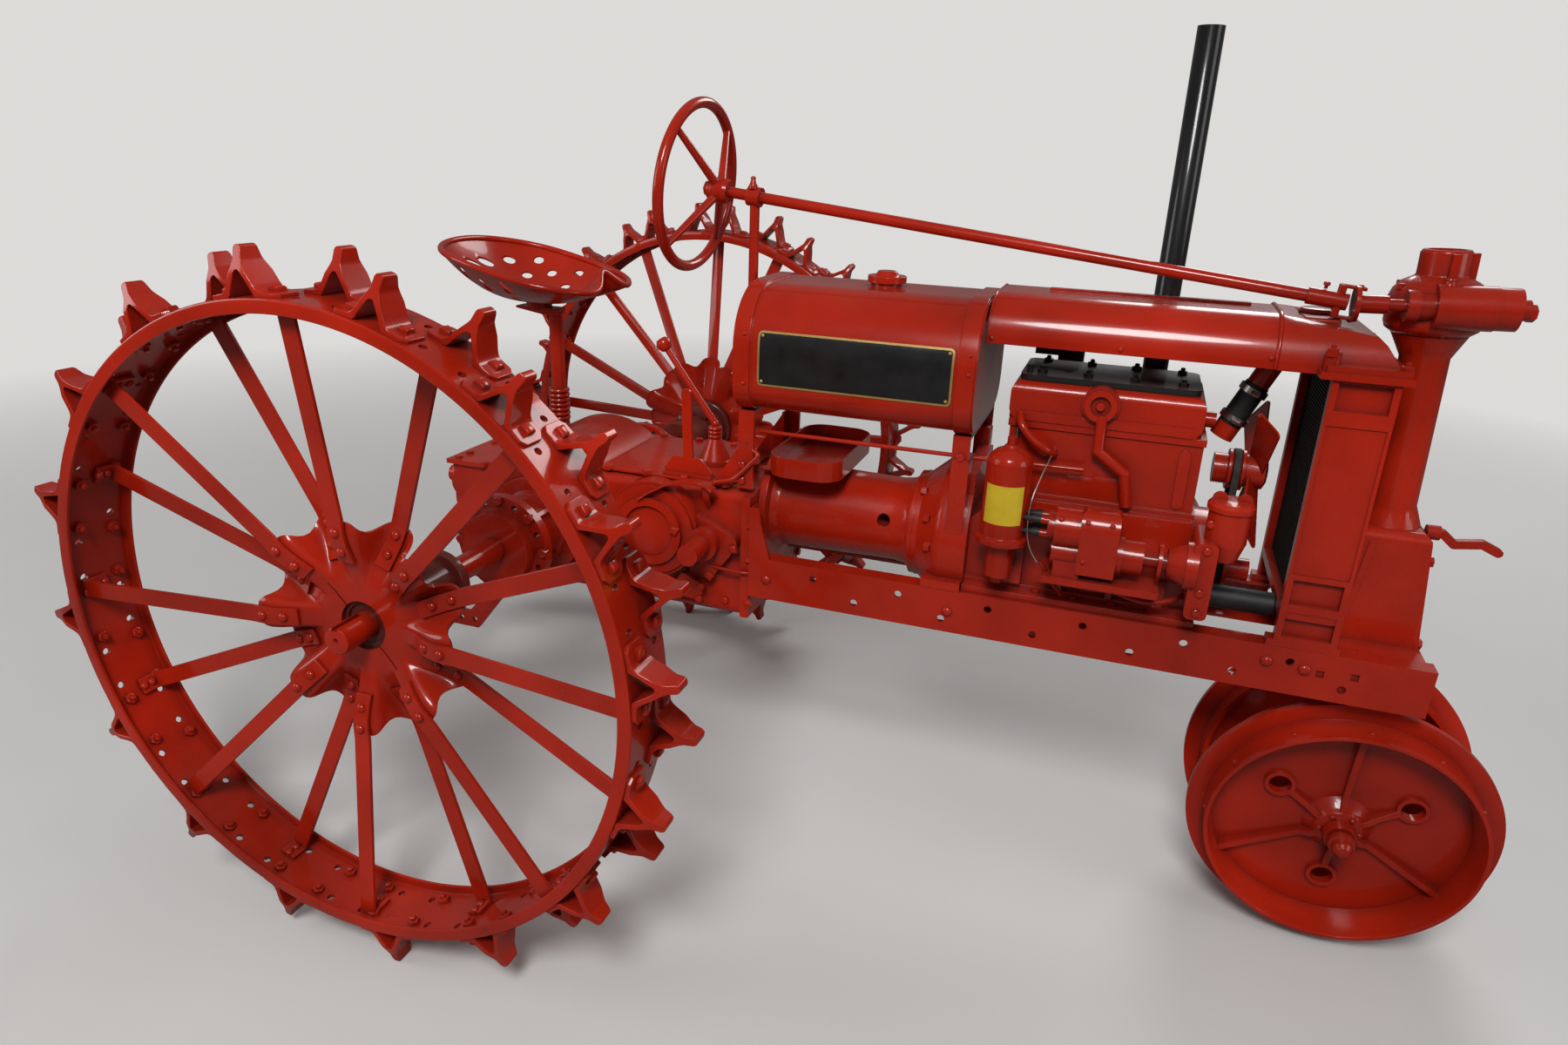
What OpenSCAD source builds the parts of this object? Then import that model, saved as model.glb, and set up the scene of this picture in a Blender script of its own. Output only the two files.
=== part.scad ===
// Row-crop tractor of the nineteen-twenties on steel wheels, at its real size in millimetres.
// X points forward, Y to the driver's left and Z up. The floor is at Z = 0.
// Places along X are counted from the rear axle; at_axle() moves them to the middle.
// Lengths and heights follow one another in chains, so a changed size moves what stands on it.

/* [Rear wheels] */
// Outer radius of the steel band of a rear wheel
rim_r = 686; // [640:1:720]
// Width of that band
rim_w = 152; // [120:1:200]
// Thickness of that band
band_t = 10; // [6:1:14]
// Depth of the flange turned in at each edge of the band
rim_flange = 28; // [15:1:40]
// Distance between the middles of the two rear bands
rear_tread = 1880; // [1700:1:2050]
// Lugs in one row; each wheel has two rows, set half a step apart
lugs_per_row = 16; // [12:1:20]
// Height of a lug's ridge over the band
lug_h = 90; // [60:1:110]
// Length of a lug's ridge, across the band
lug_w = 64; // [45:1:70]
// Thickness of the plate that a lug is folded from
lug_t = 9; // [6:1:12]
// Distance between a lug's two bolts
lug_bolt_gap = 108; // [90:1:130]
// Radius of the pressed and fluted wheel disc
disc_r = 245; // [200:1:280]
// Depth of the flutes at the edge of the disc, each way
flute = 36; // [20:1:45]
// Flutes around the disc
flutes = 8; // [6:1:10]
// Depth of the hollows in the disc's edge between the flutes
scallop = 26; // [0:1:40]
// Thickness of the disc
disc_t = 8; // [5:1:12]
// Width of a spoke
spoke_w = 38; // [25:1:44]
// Thickness of a spoke
spoke_t = 9; // [6:1:12]
// Radius of the rear axle shaft
shaft_r = 30; // [22:1:38]

/* [Front wheels] */
// Radius of a front wheel
front_r = 286; // [250:1:320]
// Width of a front wheel's rim
front_w = 152; // [120:1:160]
// Distance of a front wheel's outer face from the middle, at the height of the axle
front_face = 198; // [190:1:230]
// Height of the guide ring round the middle of a front wheel's tread
guide_h = 38; // [20:1:42]
// Camber of the front wheels in degrees
camber = 6; // [3:0.5:7]
// Radius of the three holes in a front wheel's web
web_hole_r = 24; // [15:1:30]
// Rake of the steering column in degrees
rake = 2; // [0:0.5:4]

/* [Frame] */
// Distance of a side rail's outer face from the middle
rail_y = 205; // [195:1:230]
// Height of a side rail
rail_h = 108; // [90:1:130]
// Width of a side rail's flanges
rail_flange = 46; // [30:1:60]
// Thickness of a side rail
rail_t = 8; // [5:1:12]
// Depth of the side rails' top below the rear axle
rail_drop = 3; // [0:1:20]
// Radius of the bolt holes in the side rails
rail_hole_r = 9; // [6:1:12]
// Distance between two neighbouring bolt holes of a side rail
rail_pitch = 108; // [90:1:130]

/* [Driveline] */
// Distance of the gearcase's front face from the rear axle
case_l = 590; // [540:1:640]
// Half width of the gearcase
case_y = 178; // [160:1:190]
// Height of the gearcase's top over the rear axle
case_up = 157; // [140:1:180]
// Depth of the gearcase's bottom below the rear axle
case_down = 188; // [170:1:210]
// Radius of the round housing on each side of the gearcase
drum_r = 128; // [110:1:140]
// Radius of the side shaft that stands out of the gearcase
side_shaft_r = 27; // [20:1:32]
// Height of the crankshaft and torque tube over the rear axle
drive_up = 83; // [70:1:100]
// Radius of the torque tube
tube_r = 108; // [90:1:125]
// Length of the torque tube
tube_l = 395; // [350:1:440]
// Length of the bell housing
bell_l = 140; // [120:1:160]
// Radius of the bell housing at its front face
bell_r = 190; // [170:1:195]

/* [Engine] */
// Distance of the block's rear end from the bell housing
block_gap = 62; // [50:1:80]
// Length of the engine block
block_l = 413; // [370:1:450]
// Half width of the engine block
block_y = 118; // [100:1:135]
// Height of the block's top over the side rails
block_h = 410; // [370:1:450]
// Height of the cylinder head
head_h = 88; // [70:1:100]
// Radius of the oil filter
filter_r = 50; // [40:1:60]
// Height of the oil filter's can
filter_h = 215; // [180:1:240]
// Radius of the magneto's cap
magneto_r = 46; // [38:1:52]
// Radius of the fan
fan_r = 185; // [150:1:195]
// Radius of the exhaust pipe
stack_r = 29; // [22:1:35]
// Length of the exhaust pipe
stack_l = 885; // [700:1:950]

/* [Radiator and column] */
// Room for the fan, between engine block and radiator
fan_room = 200; // [180:1:230]
// Depth of the radiator's side castings
rad_l = 122; // [100:1:140]
// Height of the radiator's cast top over the side rails
rad_h = 580; // [540:1:620]
// Height of the radiator's cast top
rad_top_h = 102; // [90:1:110]
// Distance of the front axle from the radiator
column_gap = 107; // [100:1:130]
// Radius of the steering column's tube
column_r = 46; // [40:1:55]
// Height of the column's shoulder over the side rails
shoulder_up = 250; // [220:1:280]
// Height of the worm gear over the flange of the radiator's cast top
worm_up = 138; // [125:1:150]
// Distance of the worm from the middle
worm_y = 78; // [65:1:95]
// Radius of the worm's barrel
worm_r = 43; // [38:1:50]

/* [Tank and hood] */
// Distance of the tank's rear end behind the gearcase's front face
tank_back = 45; // [30:1:60]
// How far the fuel tank's front end is behind the bell housing's front flange
tank_short = 11; // [4:1:40]
// Width of the tank's straps
strap_w = 40; // [30:1:50]
// Half width of the fuel tank
tank_y = 220; // [190:1:240]
// Height of the tank's bottom over the gearcase
tank_up = 215; // [195:1:240]
// Height of the fuel tank
tank_h = 290; // [260:1:310]
// Half width of the hood
hood_y = 158; // [140:1:175]
// Thickness of the hood
hood_t = 4; // [2:1:6]

/* [Driver's place] */
// Radius of the steering wheel
wheel_r = 206; // [180:1:230]
// Radius of the steering wheel's rim
wheel_rim_r = 13; // [9:1:16]
// Distance of the rim's plane behind the steering wheel's hub
wheel_dish = 66; // [0:1:80]
// Radius of the steering rod
rod_r = 13; // [9:1:16]
// Distance of the steering wheel's hub behind the tank
hub_back = 127; // [100:1:150]
// Height of the steering wheel's hub over the worm
hub_up = 144; // [130:1:180]
// Length of the seat
seat_l = 480; // [440:1:520]
// Width of the seat
seat_w = 450; // [400:1:500]
// Depth of the seat's pan
seat_d = 96; // [70:1:110]
// Height of the seat's lowest place over the gearcase
seat_up = 392; // [360:1:430]
// Distance of the seat's middle behind the rear axle
seat_back = 112; // [80:1:150]

/* [Hidden] */
$fn = 64;
RED = [0.72, 0.10, 0.04];
BLACK = [0.05, 0.05, 0.05];
DARK = [0.25, 0.06, 0.05];
// Clearance between two pieces that touch in the real tractor
fit = 0.3;

// Rear wheels: the tractor stands between two lugs of each wheel, one from each row
lug_step = 360 / lugs_per_row;
lug_turn = lug_step / 4;
lug_tip = 11;
axle_h = (rim_r + lug_h) * cos(lug_turn) + lug_tip / 2 * sin(lug_turn);
rear_face = rear_tread / 2 + rim_w / 2;
row_z = [-rim_w * 0.25, -rim_w * 0.75];
disc_z = -rim_w * 0.84;
disc_r0 = 90;
hub_r = 60;
hub_l = 260;
shaft_out = 45;
foot_l = 44;
flute_step = 360 / flutes;

// Chain of places along X, from the rear axle to the front axle
case_x1 = case_l;
tube_x1 = case_x1 + tube_l;
bell_x1 = tube_x1 + bell_l;
block_x0 = bell_x1 + block_gap;
block_x1 = block_x0 + block_l;
timing_x1 = block_x1 + 40;
rad_x0 = block_x1 + fan_room;
rad_x1 = rad_x0 + rad_l;
wheelbase = rad_x1 + column_gap;
rail_x0 = case_x1 + 2;
rail_x1 = wheelbase + 86;
tank_x0 = case_x1 - tank_back;
tank_x1 = bell_x1 - tank_short;

// Chain of heights, from the rear axle up
rail_top = axle_h - rail_drop;
rail_low = rail_top - rail_h;
case_top = axle_h + case_up;
case_bottom = axle_h - case_down;
cover_top = case_top + 9;
drive_z = axle_h + drive_up;
base_top = rail_top + 16;
base_z1 = rail_top + 230;
head_z0 = rail_top + block_h;
head_z1 = head_z0 + head_h;
rad_z1 = rail_top + rad_h;
tank_z0 = case_top + tank_up;
tank_z1 = tank_z0 + tank_h;
shoulder_z = rail_top + shoulder_up;
worm_z = rad_z1 + worm_up;
hub_x = tank_x0 - hub_back;
hub_z = worm_z + hub_up;
seat_x = -seat_back;
seat_z = case_top + seat_up;

// Half widths that follow from others
base_y = block_y + 32;
flange_y = rail_y - 12;
house_y = case_y + 34;
housing_end = house_y + 218;

// Front wheels: centre of each, its camber and what it turns on
guide_t = 16;
guide_r = front_r + guide_h;
front_h = guide_r * cos(camber) + guide_t / 2 * sin(camber);
front_y = front_face - front_w / 2 * cos(camber);
stub_r = 24;
king_r = 30;
worm_shaft_r = 12;

// Middle of the whole tractor along X
x_shift = (axle_h - wheelbase - guide_r) / 2;
function king_x(z) = wheelbase - (z - front_h) * tan(rake);

// Steering line: hub of the wheel, joint behind the worm and the rod between them
worm_x = king_x(worm_z);
joint_back = 158;
joint = [worm_x - joint_back * cos(rake), -worm_y, worm_z - joint_back * sin(rake)];
hub = [hub_x, 0, hub_z];
rod = joint - hub;
rod_len = norm(rod);
rod_yaw = atan2(rod.y, rod.x);
rod_dip = atan2(-rod.z, norm([rod.x, rod.y]));
post_x = 92;
post_t = post_x / cos(rod_dip) / cos(rod_yaw);
post_y = post_x * tan(rod_yaw);
module to_rod() translate(hub) rotate([0, rod_dip, rod_yaw]) children();

module at_axle() translate([x_shift, 0, 0]) children();
module span(x0, x1, y0, y1, z0, z1) translate([x0, y0, z0]) cube([x1 - x0, y1 - y0, z1 - z0]);
module along_x(x0, x1, r) translate([x0, 0, 0]) rotate([0, 90, 0]) cylinder(h = x1 - x0, r = r);
module across(y0, y1, r) translate([0, y1, 0]) rotate([90, 0, 0]) cylinder(h = y1 - y0, r = r);
module both() {
    children();
    mirror([0, 1, 0]) children();
}
// Flat shape drawn in X and Z, as thick as y0 to y1
module on_side(y0, y1) translate([0, y1, 0]) rotate([90, 0, 0]) linear_extrude(height = y1 - y0)
    children();
module side_plate(y0, y1, points) on_side(y0, y1) polygon(points);
// Flat shape drawn in Y and Z, as long as x0 to x1
module prism_x(x0, x1) translate([x0, 0, 0]) rotate([90, 0, 90]) linear_extrude(height = x1 - x0)
    children();
// Convex plate with its corners rounded to radius r about the points, and a band round two points
corner_steps = 6;
function heading(a, b) = atan2(b.y - a.y, b.x - a.x);
function twice_area(p) = let (n = len(p)) [for (i = [0:n - 1]) p[i].x * p[(i + 1) % n].y
    - p[(i + 1) % n].x * p[i].y] * [for (i = [0:n - 1]) 1];
function corners(p, r) = let (n = len(p), s = twice_area(p) < 0 ? -1 : 1)
    [for (i = [0:n - 1], k = [0:corner_steps]) let (a = heading(p[(i + n - 1) % n], p[i]) - s * 90,
        b = heading(p[i], p[(i + 1) % n]) - s * 90, turn = s * ((s * (b - a) + 720) % 360),
        t = a + turn * k / corner_steps) p[i] + r * [cos(t), sin(t)]];
module pad(points, r) polygon(corners(points, r));
// Rectangle standing on the Y axis with rounded upper and lower corners, drawn in Y and Z
module rounded(w, h, r_top, r_low) {
    translate([-w / 2, r_low]) square([w, h - r_top - r_low]);
    translate([-w / 2 + r_top, r_low]) square([w - 2 * r_top, h - r_low]);
    translate([-w / 2 + r_low, 0]) square([w - 2 * r_low, r_low + 1]);
    for (s = [-1, 1]) {
        translate([s * (w / 2 - r_top), h - r_top]) quarter(r_top, s, 1);
        translate([s * (w / 2 - r_low), r_low]) quarter(r_low, s, -1);
    }
}
module quarter(r, side, up) intersection() {
    circle(r = r);
    translate([side > 0 ? -1 : -r, up > 0 ? -1 : -r]) square(r + 1);
}
// Round bar from a to b, and a bent bar along a line of points with a ball at each bend
module bar(a, b, r) {
    run = b - a;
    translate(a) rotate([0, acos(run.z / norm(run)), atan2(run.y, run.x)]) cylinder(h = norm(run), r = r);
}
module bent_bar(points, r) {
    for (i = [0:len(points) - 2]) bar(points[i], points[i + 1], r);
    for (i = [1:len(points) - 2]) translate(points[i]) sphere(r = r + 0.6);
}

// Driveline
drum_x = case_x1 - 262;
drum_z = axle_h + 34;
cover_y = 168;
side_shaft_x = case_x1 - 120;
side_shaft_z = axle_h + 17;
module gearcase() color(RED) at_axle() difference() {
    union() {
        intersection() {
            side_plate(-case_y, case_y, [[-185, case_bottom + 55], [-120, case_bottom],
                [case_x1 - 30, case_bottom], [case_x1, case_bottom + 25], [case_x1, case_top],
                [-150, case_top], [-185, case_top - 30]]);
            translate([0, 0, case_bottom]) prism_x(-190, case_x1 + 1)
                rounded(2 * case_y, case_top - case_bottom, 34, 26);
        }
        span(case_x1 - 22, case_x1, -rail_y + 6, rail_y - 6, case_bottom + 10, case_top - 8);
        translate([0, 0, axle_h]) across(-house_y, house_y, 150);
        translate([0, 0, axle_h]) across(-house_y + 6, house_y - 6, 156);
        translate([drum_x, 0, drum_z]) {
            both() across(-case_y - 40, -cover_y - 4, drum_r);
            across(-case_y - 48, case_y + 48, drum_r - 10);
            across(-case_y - 60, case_y + 60, drum_r - 38);
        }
        translate([side_shaft_x, 0, side_shaft_z]) {
            on_side(-case_y - 26, -case_y + 4) pad([[-50, 54], [66, 4], [10, -74]], 22);
            across(-case_y - 54, -case_y, side_shaft_r + 16);
            across(-case_y - 132, -case_y, side_shaft_r);
        }
        on_side(-case_y - 18, -case_y + 4) translate([case_x1 - 192, case_bottom])
            pad([[8, 96], [58, 74], [52, 42], [-20, 48]], 8);
    }
    translate([0, 0, axle_h]) across(-house_y - 1, house_y + 1, shaft_r + 2);
    translate([drum_x, 0, drum_z]) both() across(-case_y - 61, -case_y - 50, drum_r - 60);
    for (z = [70, 160, 270]) translate([0, 0, case_bottom + z])
        both() for (y = [-rail_y + 14]) translate([case_x1 - 23, y, 0]) rotate([0, 90, 0])
            cylinder(h = 24, r = 6);
}
dome_r = 210;
module dome(gap) translate([20, 0, case_top - 150]) across(-150 - gap, 150 + gap, dome_r + gap);
module gearcase_cover() color(RED) at_axle() {
    translate([0, 0, case_top + fit]) linear_extrude(height = cover_top - case_top - fit)
        pad([[-138, 12 - cover_y], [case_x1 - 82, 12 - cover_y], [case_x1 - 82, cover_y - 12],
            [-138, cover_y - 12]], 12);
    intersection() {
        dome(0);
        span(-190, 240, -151, 151, case_top + 8, case_top + 100);
    }
}
module rear_housing() color(RED) at_axle() {
    low = axle_h - 73;
    intersection() {
        side_plate(-118, 118, [[-345, low + 50], [-300, low], [-185, low], [-185, axle_h + 95],
            [-345, axle_h + 95]]);
        translate([0, 0, low]) prism_x(-346, -184) rounded(236, 168, 1, 30);
    }
    span(-358, -185 - fit, -130, 130, axle_h + 94, axle_h + 107);
    translate([0, 0, axle_h + 17]) {
        along_x(-372, -340, 74);
        along_x(-400, -340, 62);
        along_x(-440, -400, 24);
    }
}
bar_z = axle_h - 352;
module drawbar() color(RED) at_axle() difference() {
    union() {
        both() {
            side_plate(case_y + fit, case_y + 12, [[-180, case_bottom + 75], [-120, case_bottom + 75],
                [-120, case_bottom - 25], [-250, bar_z - 25], [-510, bar_z - 25], [-510, bar_z + 25],
                [-275, bar_z + 25], [-180, case_bottom - 25]]);
        }
        span(-525, -509, -case_y - 12, case_y + 12, bar_z - 25, bar_z + 25);
        span(-562, -509, -32, 32, bar_z - 8, bar_z + 8);
        translate([-562, 0, bar_z - 8]) cylinder(h = 16, r = 32);
    }
    translate([-562, 0, bar_z - 20]) cylinder(h = 60, r = 13);
    for (i = [0:4]) both() translate([-440 + i * 45, 0, bar_z]) across(-case_y - 13, -case_y + 1, 8);
}
flange_hole_r = 8;
flange_pcd = 224;
module axle_housing(side) color(RED) at_axle() mirror([0, side < 0 ? 0 : 1, 0])
    translate([0, 0, axle_h]) difference() {
        union() {
            rotate([90, 0, 0]) rotate_extrude() polygon([[shaft_r + fit, house_y + fit],
                [118, house_y + fit], [118, house_y + 22], [134, house_y + 22], [134, house_y + 40],
                [100, house_y + 42], [96, house_y + 58], [84, house_y + 62], [84, housing_end - 62],
                [96, housing_end - 58], [130, housing_end - 58], [130, housing_end - 32],
                [97, housing_end - 30], [94, housing_end], [shaft_r + fit, housing_end]]);
            for (a = [0:90:270]) rotate([0, a + 45, 0])
                span(-6, 6, -housing_end + 50, -house_y - 30, 60, 102);
        }
        for (a = [0:45:315]) rotate([0, a + 22.5, 0]) translate([flange_pcd / 2, 0, 0])
            across(-housing_end + 20, -housing_end + 70, flange_hole_r);
    }
module axle_housing_right() axle_housing(-1);
module axle_housing_left() axle_housing(1);
module torque_tube() color(RED) at_axle() difference() {
    translate([0, 0, drive_z]) {
        rotate([0, 90, 0]) rotate_extrude() polygon([[0, case_x1 + fit], [150, case_x1 + fit],
            [150, case_x1 + 20], [tube_r + 12, case_x1 + 22], [tube_r + 3, case_x1 + 44],
            [tube_r - 2, tube_x1 - 60], [tube_r + 2, tube_x1 - 30], [tube_r + 12, tube_x1 - 14],
            [132, tube_x1 - 12], [132, tube_x1 - fit], [0, tube_x1 - fit]]);
    }
    translate([tube_x1 - 78, 0, drive_z + 26]) across(-tube_r - 20, -tube_r + 60, 16);
}
module bell(gap) translate([0, 0, drive_z]) rotate([0, 90, 0]) rotate_extrude()
    polygon([[0, tube_x1], [134 + gap, tube_x1], [134 + gap, tube_x1 + 12], [138 + gap, tube_x1 + 16],
        [bell_r - 20 + gap, tube_x1 + 52], [bell_r - 4 + gap, tube_x1 + 66], [bell_r + gap, tube_x1 + 78],
        [bell_r + gap, bell_x1], [0, bell_x1]]);
module bell_housing() color(RED) at_axle() {
    difference() {
        union() {
            bell(0);
            span(bell_x1 - 34, bell_x1, -136, 136, drive_z, drive_z + bell_r - 4);
        }
        both() span(tube_x1 - 90, bell_x1 + 90, rail_y - rail_flange - 2, 300, 0, rail_top + fit);
    }
    both() {
        span(bell_x1 - 95, bell_x1 - 2, 140, rail_y + 2, rail_top + fit, rail_top + 20);
        on_side(150, 166) pad([[bell_x1 - 70, rail_top + 24], [bell_x1 - 24, rail_top + 24],
            [bell_x1 - 24, drive_z + 40]], 10);
    }
}

// Frame
module side_rail(side) color(RED) at_axle() mirror([0, side < 0 ? 0 : 1, 0]) difference() {
    union() {
        span(rail_x0, rail_x1, -rail_y, -rail_y + rail_t, rail_low, rail_top);
        for (z = [rail_top - rail_t, rail_low])
            span(rail_x0, rail_x1, -rail_y, -rail_y + rail_flange, z, z + rail_t);
        side_plate(-rail_y, -rail_y + rail_t, [[rail_x0, rail_top - 4], [rail_x0, case_top - 30],
            [rail_x0 + 24, case_top - 30], [rail_x0 + 30, case_top - 70], [rail_x0 + 56, rail_top - 4]]);
        span(rail_x0, rail_x0 + rail_t, -rail_y, -rail_y + rail_flange - 10, rail_top - 4, case_top - 30);
    }
    for (i = [0:11]) translate([rail_x0 + 170 + i * rail_pitch, 0, rail_top - (i % 2 == 0 ? 32 : 76)])
        across(-rail_y - 5, -rail_y + rail_t + 5, rail_hole_r);
}
module side_rail_right() side_rail(-1);
module side_rail_left() side_rail(1);

// Engine
module engine_block() color(RED) at_axle() {
    span(bell_x1 + fit, timing_x1, -flange_y, flange_y, rail_top + fit, base_top);
    side_plate(-base_y, base_y, [[bell_x1 + fit, base_top - 1], [bell_x1 + fit, base_z1 - 60],
        [block_x0, base_z1], [block_x1, base_z1], [timing_x1, base_z1 - 60], [timing_x1, base_top - 1]]);
    span(bell_x1 + fit, timing_x1, -base_y - 14, base_y + 14, base_top - 1, base_top + 12);
    span(block_x0, block_x1, -block_y, block_y, base_z1 - 2, head_z0);
    span(block_x0 - 6, block_x1 + 6, -block_y - 8, block_y + 8, base_z1 - 1, base_z1 + 12);
    span(block_x0 - 4, block_x1 + 4, -block_y - 5, block_y + 5, head_z0 - 16, head_z0);
    for (x = [block_x0 + 30, block_x1 - 34]) on_side(-block_y - 5, -block_y + 5)
        pad([[x, base_z1 + 30], [x, head_z0 - 40]], 12);
    both() for (x = [block_x0 + 40 : 110 : block_x1 - 40])
        side_plate(base_y - 2, base_y + 14, [[x, base_top], [x + 14, base_top], [x + 14, base_z1 - 142],
            [x, base_z1 - 142]]);
    // Gear cover at the front, seat of the filter and drive of the magneto
    intersection() {
        translate([0, 0, drive_z]) along_x(block_x1, timing_x1 + 14, 132);
        span(block_x1, timing_x1 + 14, -132, 132, base_top - 1, base_z1);
    }
    side_plate(-base_y - 34, -base_y + 2, [[block_x0 + 10, base_top + 20], [block_x0 + 70, base_top + 20],
        [block_x0 + 70, base_z1 - 80], [block_x0 + 10, base_z1 - 80]]);
}
boss_x = block_x0 + 190;
boss_z = head_z0 + 52;
module cylinder_head() color(RED) at_axle() difference() {
    union() {
        intersection() {
            translate([0, 0, head_z0 + fit]) prism_x(block_x0 - 8, block_x1)
                rounded(2 * block_y + 10, head_h - fit, 26, 1);
            on_side(-block_y - 6, block_y + 6) pad([[block_x0 + 20, head_z0 + 26],
                [block_x1 - 34, head_z0 + 26], [block_x1 - 34, head_z1 - 26],
                [block_x0 + 20, head_z1 - 26]], 26);
        }
        translate([0, 0, head_z0 + fit]) linear_extrude(height = 22)
            pad([[block_x0 + 18, -block_y + 16], [block_x1 - 32, -block_y + 16],
                [block_x1 - 32, block_y - 16], [block_x0 + 18, block_y - 16]], 24);
        translate([0, 0, head_z0 + 19]) along_x(block_x1 - 12, block_x1 + 22, 18);
        on_hose() translate([0, 0, -34]) cylinder(h = 34 - fit, r = 26);
        translate([boss_x, 0, boss_z]) {
            across(-block_y - 24, -block_y + 10, 35);
            across(-block_y - 14, -block_y + 10, 41);
        }
        bent_bar([[boss_x + 6, -block_y - 16, boss_z - 20], [boss_x + 8, -block_y - 22, head_z0 - 48],
            [boss_x + 70, -block_y - 24, head_z0 - 92], [boss_x + 84, -block_y - 24, base_z1 + 16]], 12);
    }
    translate([boss_x, 0, boss_z]) rotate([90, 0, 0]) translate([0, 0, block_y + 14])
        difference() {
            cylinder(h = 12, r = 22);
            translate([0, 0, -1]) cylinder(h = 14, r = 9);
        }
}
module head_cover() color(BLACK) at_axle() {
    translate([0, 0, head_z1 + fit]) linear_extrude(height = 12)
        pad([[block_x0 + 30, -block_y + 34], [block_x1 - 44, -block_y + 34],
            [block_x1 - 44, block_y - 34], [block_x0 + 30, block_y - 34]], 22);
    translate([block_x0 + 26, -block_y + 40, head_z1]) cylinder(h = 30, r = 7);
}
module oil_pan() color(RED) at_axle() {
    pan = rail_top - 148;
    intersection() {
        side_plate(-130, 130, [[bell_x1 + 25, rail_top], [bell_x1 + 40, pan + 36], [bell_x1 + 66, pan + 8],
            [block_x0 + 26, pan], [block_x1 - 150, pan - 8], [block_x1 - 122, pan + 10],
            [block_x1 - 96, pan + 44], [block_x1 + 6, pan + 66], [block_x1 + 22, rail_top]]);
        translate([0, 0, pan - 10]) prism_x(bell_x1, timing_x1) rounded(250, 170, 1, 40);
    }
    span(bell_x1 + 16, block_x1 + 30, -136, 136, rail_top - 12, rail_top);
}
module oil_filter() color(RED) at_axle() {
    translate([block_x0 + 22, -base_y - 88, 0]) {
        translate([0, 0, base_top + 144]) rotate_extrude() polygon([[0, 0], [filter_r + 9, 0],
            [filter_r + 9, 10], [filter_r + 1, 16], [filter_r, 18], [filter_r, filter_h - 34],
            [filter_r - 5, filter_h - 18], [filter_r - 18, filter_h - 6], [18, filter_h],
            [14, filter_h + 6], [0, filter_h + 6]]);
        translate([0, 0, base_top + 144 + filter_h]) cylinder(h = 24, r = 11, $fn = 6);
        translate([0, 0, base_top + 60]) cylinder(h = 85, r = 30);
        span(-30, 30, 0, 88 - 34 - fit, base_top + 62, base_top + 112);
        translate([0, 0, base_top + 44]) cylinder(h = 18, r = 14);
    }
}
mag_x = block_x0 + 128;
mag_z = base_top + 150;
mag_y = -base_y - 92;
module magneto() color(RED) at_axle() {
    // Cap with its towers, body, drive with its coupling, and the shelf that carries them
    translate([0, mag_y, mag_z + 46]) {
        along_x(mag_x + 8, mag_x + 62, magneto_r);
        along_x(mag_x - 8, mag_x + 9, magneto_r - 14);
        for (y = [-18, 18], z = [-14, 16]) translate([0, y, z]) along_x(mag_x - 30, mag_x - 6, 9);
    }
    translate([0, mag_y, mag_z - 10]) along_x(mag_x + 6, mag_x + 64, 34);
    intersection() {
        translate([0, mag_y, mag_z - 44]) prism_x(mag_x + 62, mag_x + 142) rounded(92, 142, 40, 4);
        on_side(mag_y - 60, mag_y + 60) pad([[mag_x + 74, mag_z - 36], [mag_x + 130, mag_z - 36],
            [mag_x + 130, mag_z + 86], [mag_x + 74, mag_z + 86]], 12);
    }
    span(mag_x + 14, mag_x + 70, mag_y - 38, mag_y + 38, mag_z - 58, mag_z - 20);
    translate([0, mag_y, mag_z]) {
        along_x(mag_x + 140, mag_x + 154, 44);
        along_x(mag_x + 150, mag_x + 196, 38);
        along_x(mag_x + 190, mag_x + 226, 16);
        along_x(mag_x + 226, mag_x + 234, 40);
    }
    span(mag_x - 8, mag_x + 236, mag_y - 46, -base_y - fit, mag_z - 72, mag_z - 56);
    side_plate(mag_y + 20, -base_y - 15, [[mag_x + 20, mag_z - 57], [mag_x + 90, mag_z - 57],
        [mag_x + 70, mag_z - 96], [mag_x + 40, mag_z - 96]]);
}
gov_x = mag_x + 234 + fit;
module governor() color(RED) at_axle() {
    translate([0, mag_y, mag_z]) {
        along_x(gov_x, gov_x + 12, 20);
        translate([gov_x + 10, 0, 0]) rotate([0, 90, 0]) cylinder(h = 38, r1 = 30, r2 = 46);
        along_x(gov_x + 46, gov_x + 70, 52);
    }
    on_side(-base_y - 124, -base_y - fit) pad([[gov_x + 70, mag_z - 96], [gov_x + 92, mag_z - 96],
        [gov_x + 92, mag_z + 52], [gov_x + 70, mag_z + 52]], 12);
    translate([gov_x + 116, -base_y - 70, mag_z + 20]) rotate_extrude() polygon([[0, 0], [30, 0],
        [42, 40], [42, 108], [47, 110], [47, 120], [40, 128], [0, 132]]);
    translate([gov_x + 116, -base_y - 70, mag_z + 150]) for (s = [-1, 1])
        translate([s * 24, 0, 0]) rotate([90, 0, 0]) translate([0, 0, -5]) cylinder(h = 10, r = 15);
}
stack_x = block_x1 - 118;
stack_y = hood_y + stack_r + 12;
manifold_top = head_z0 - 50;
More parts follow.
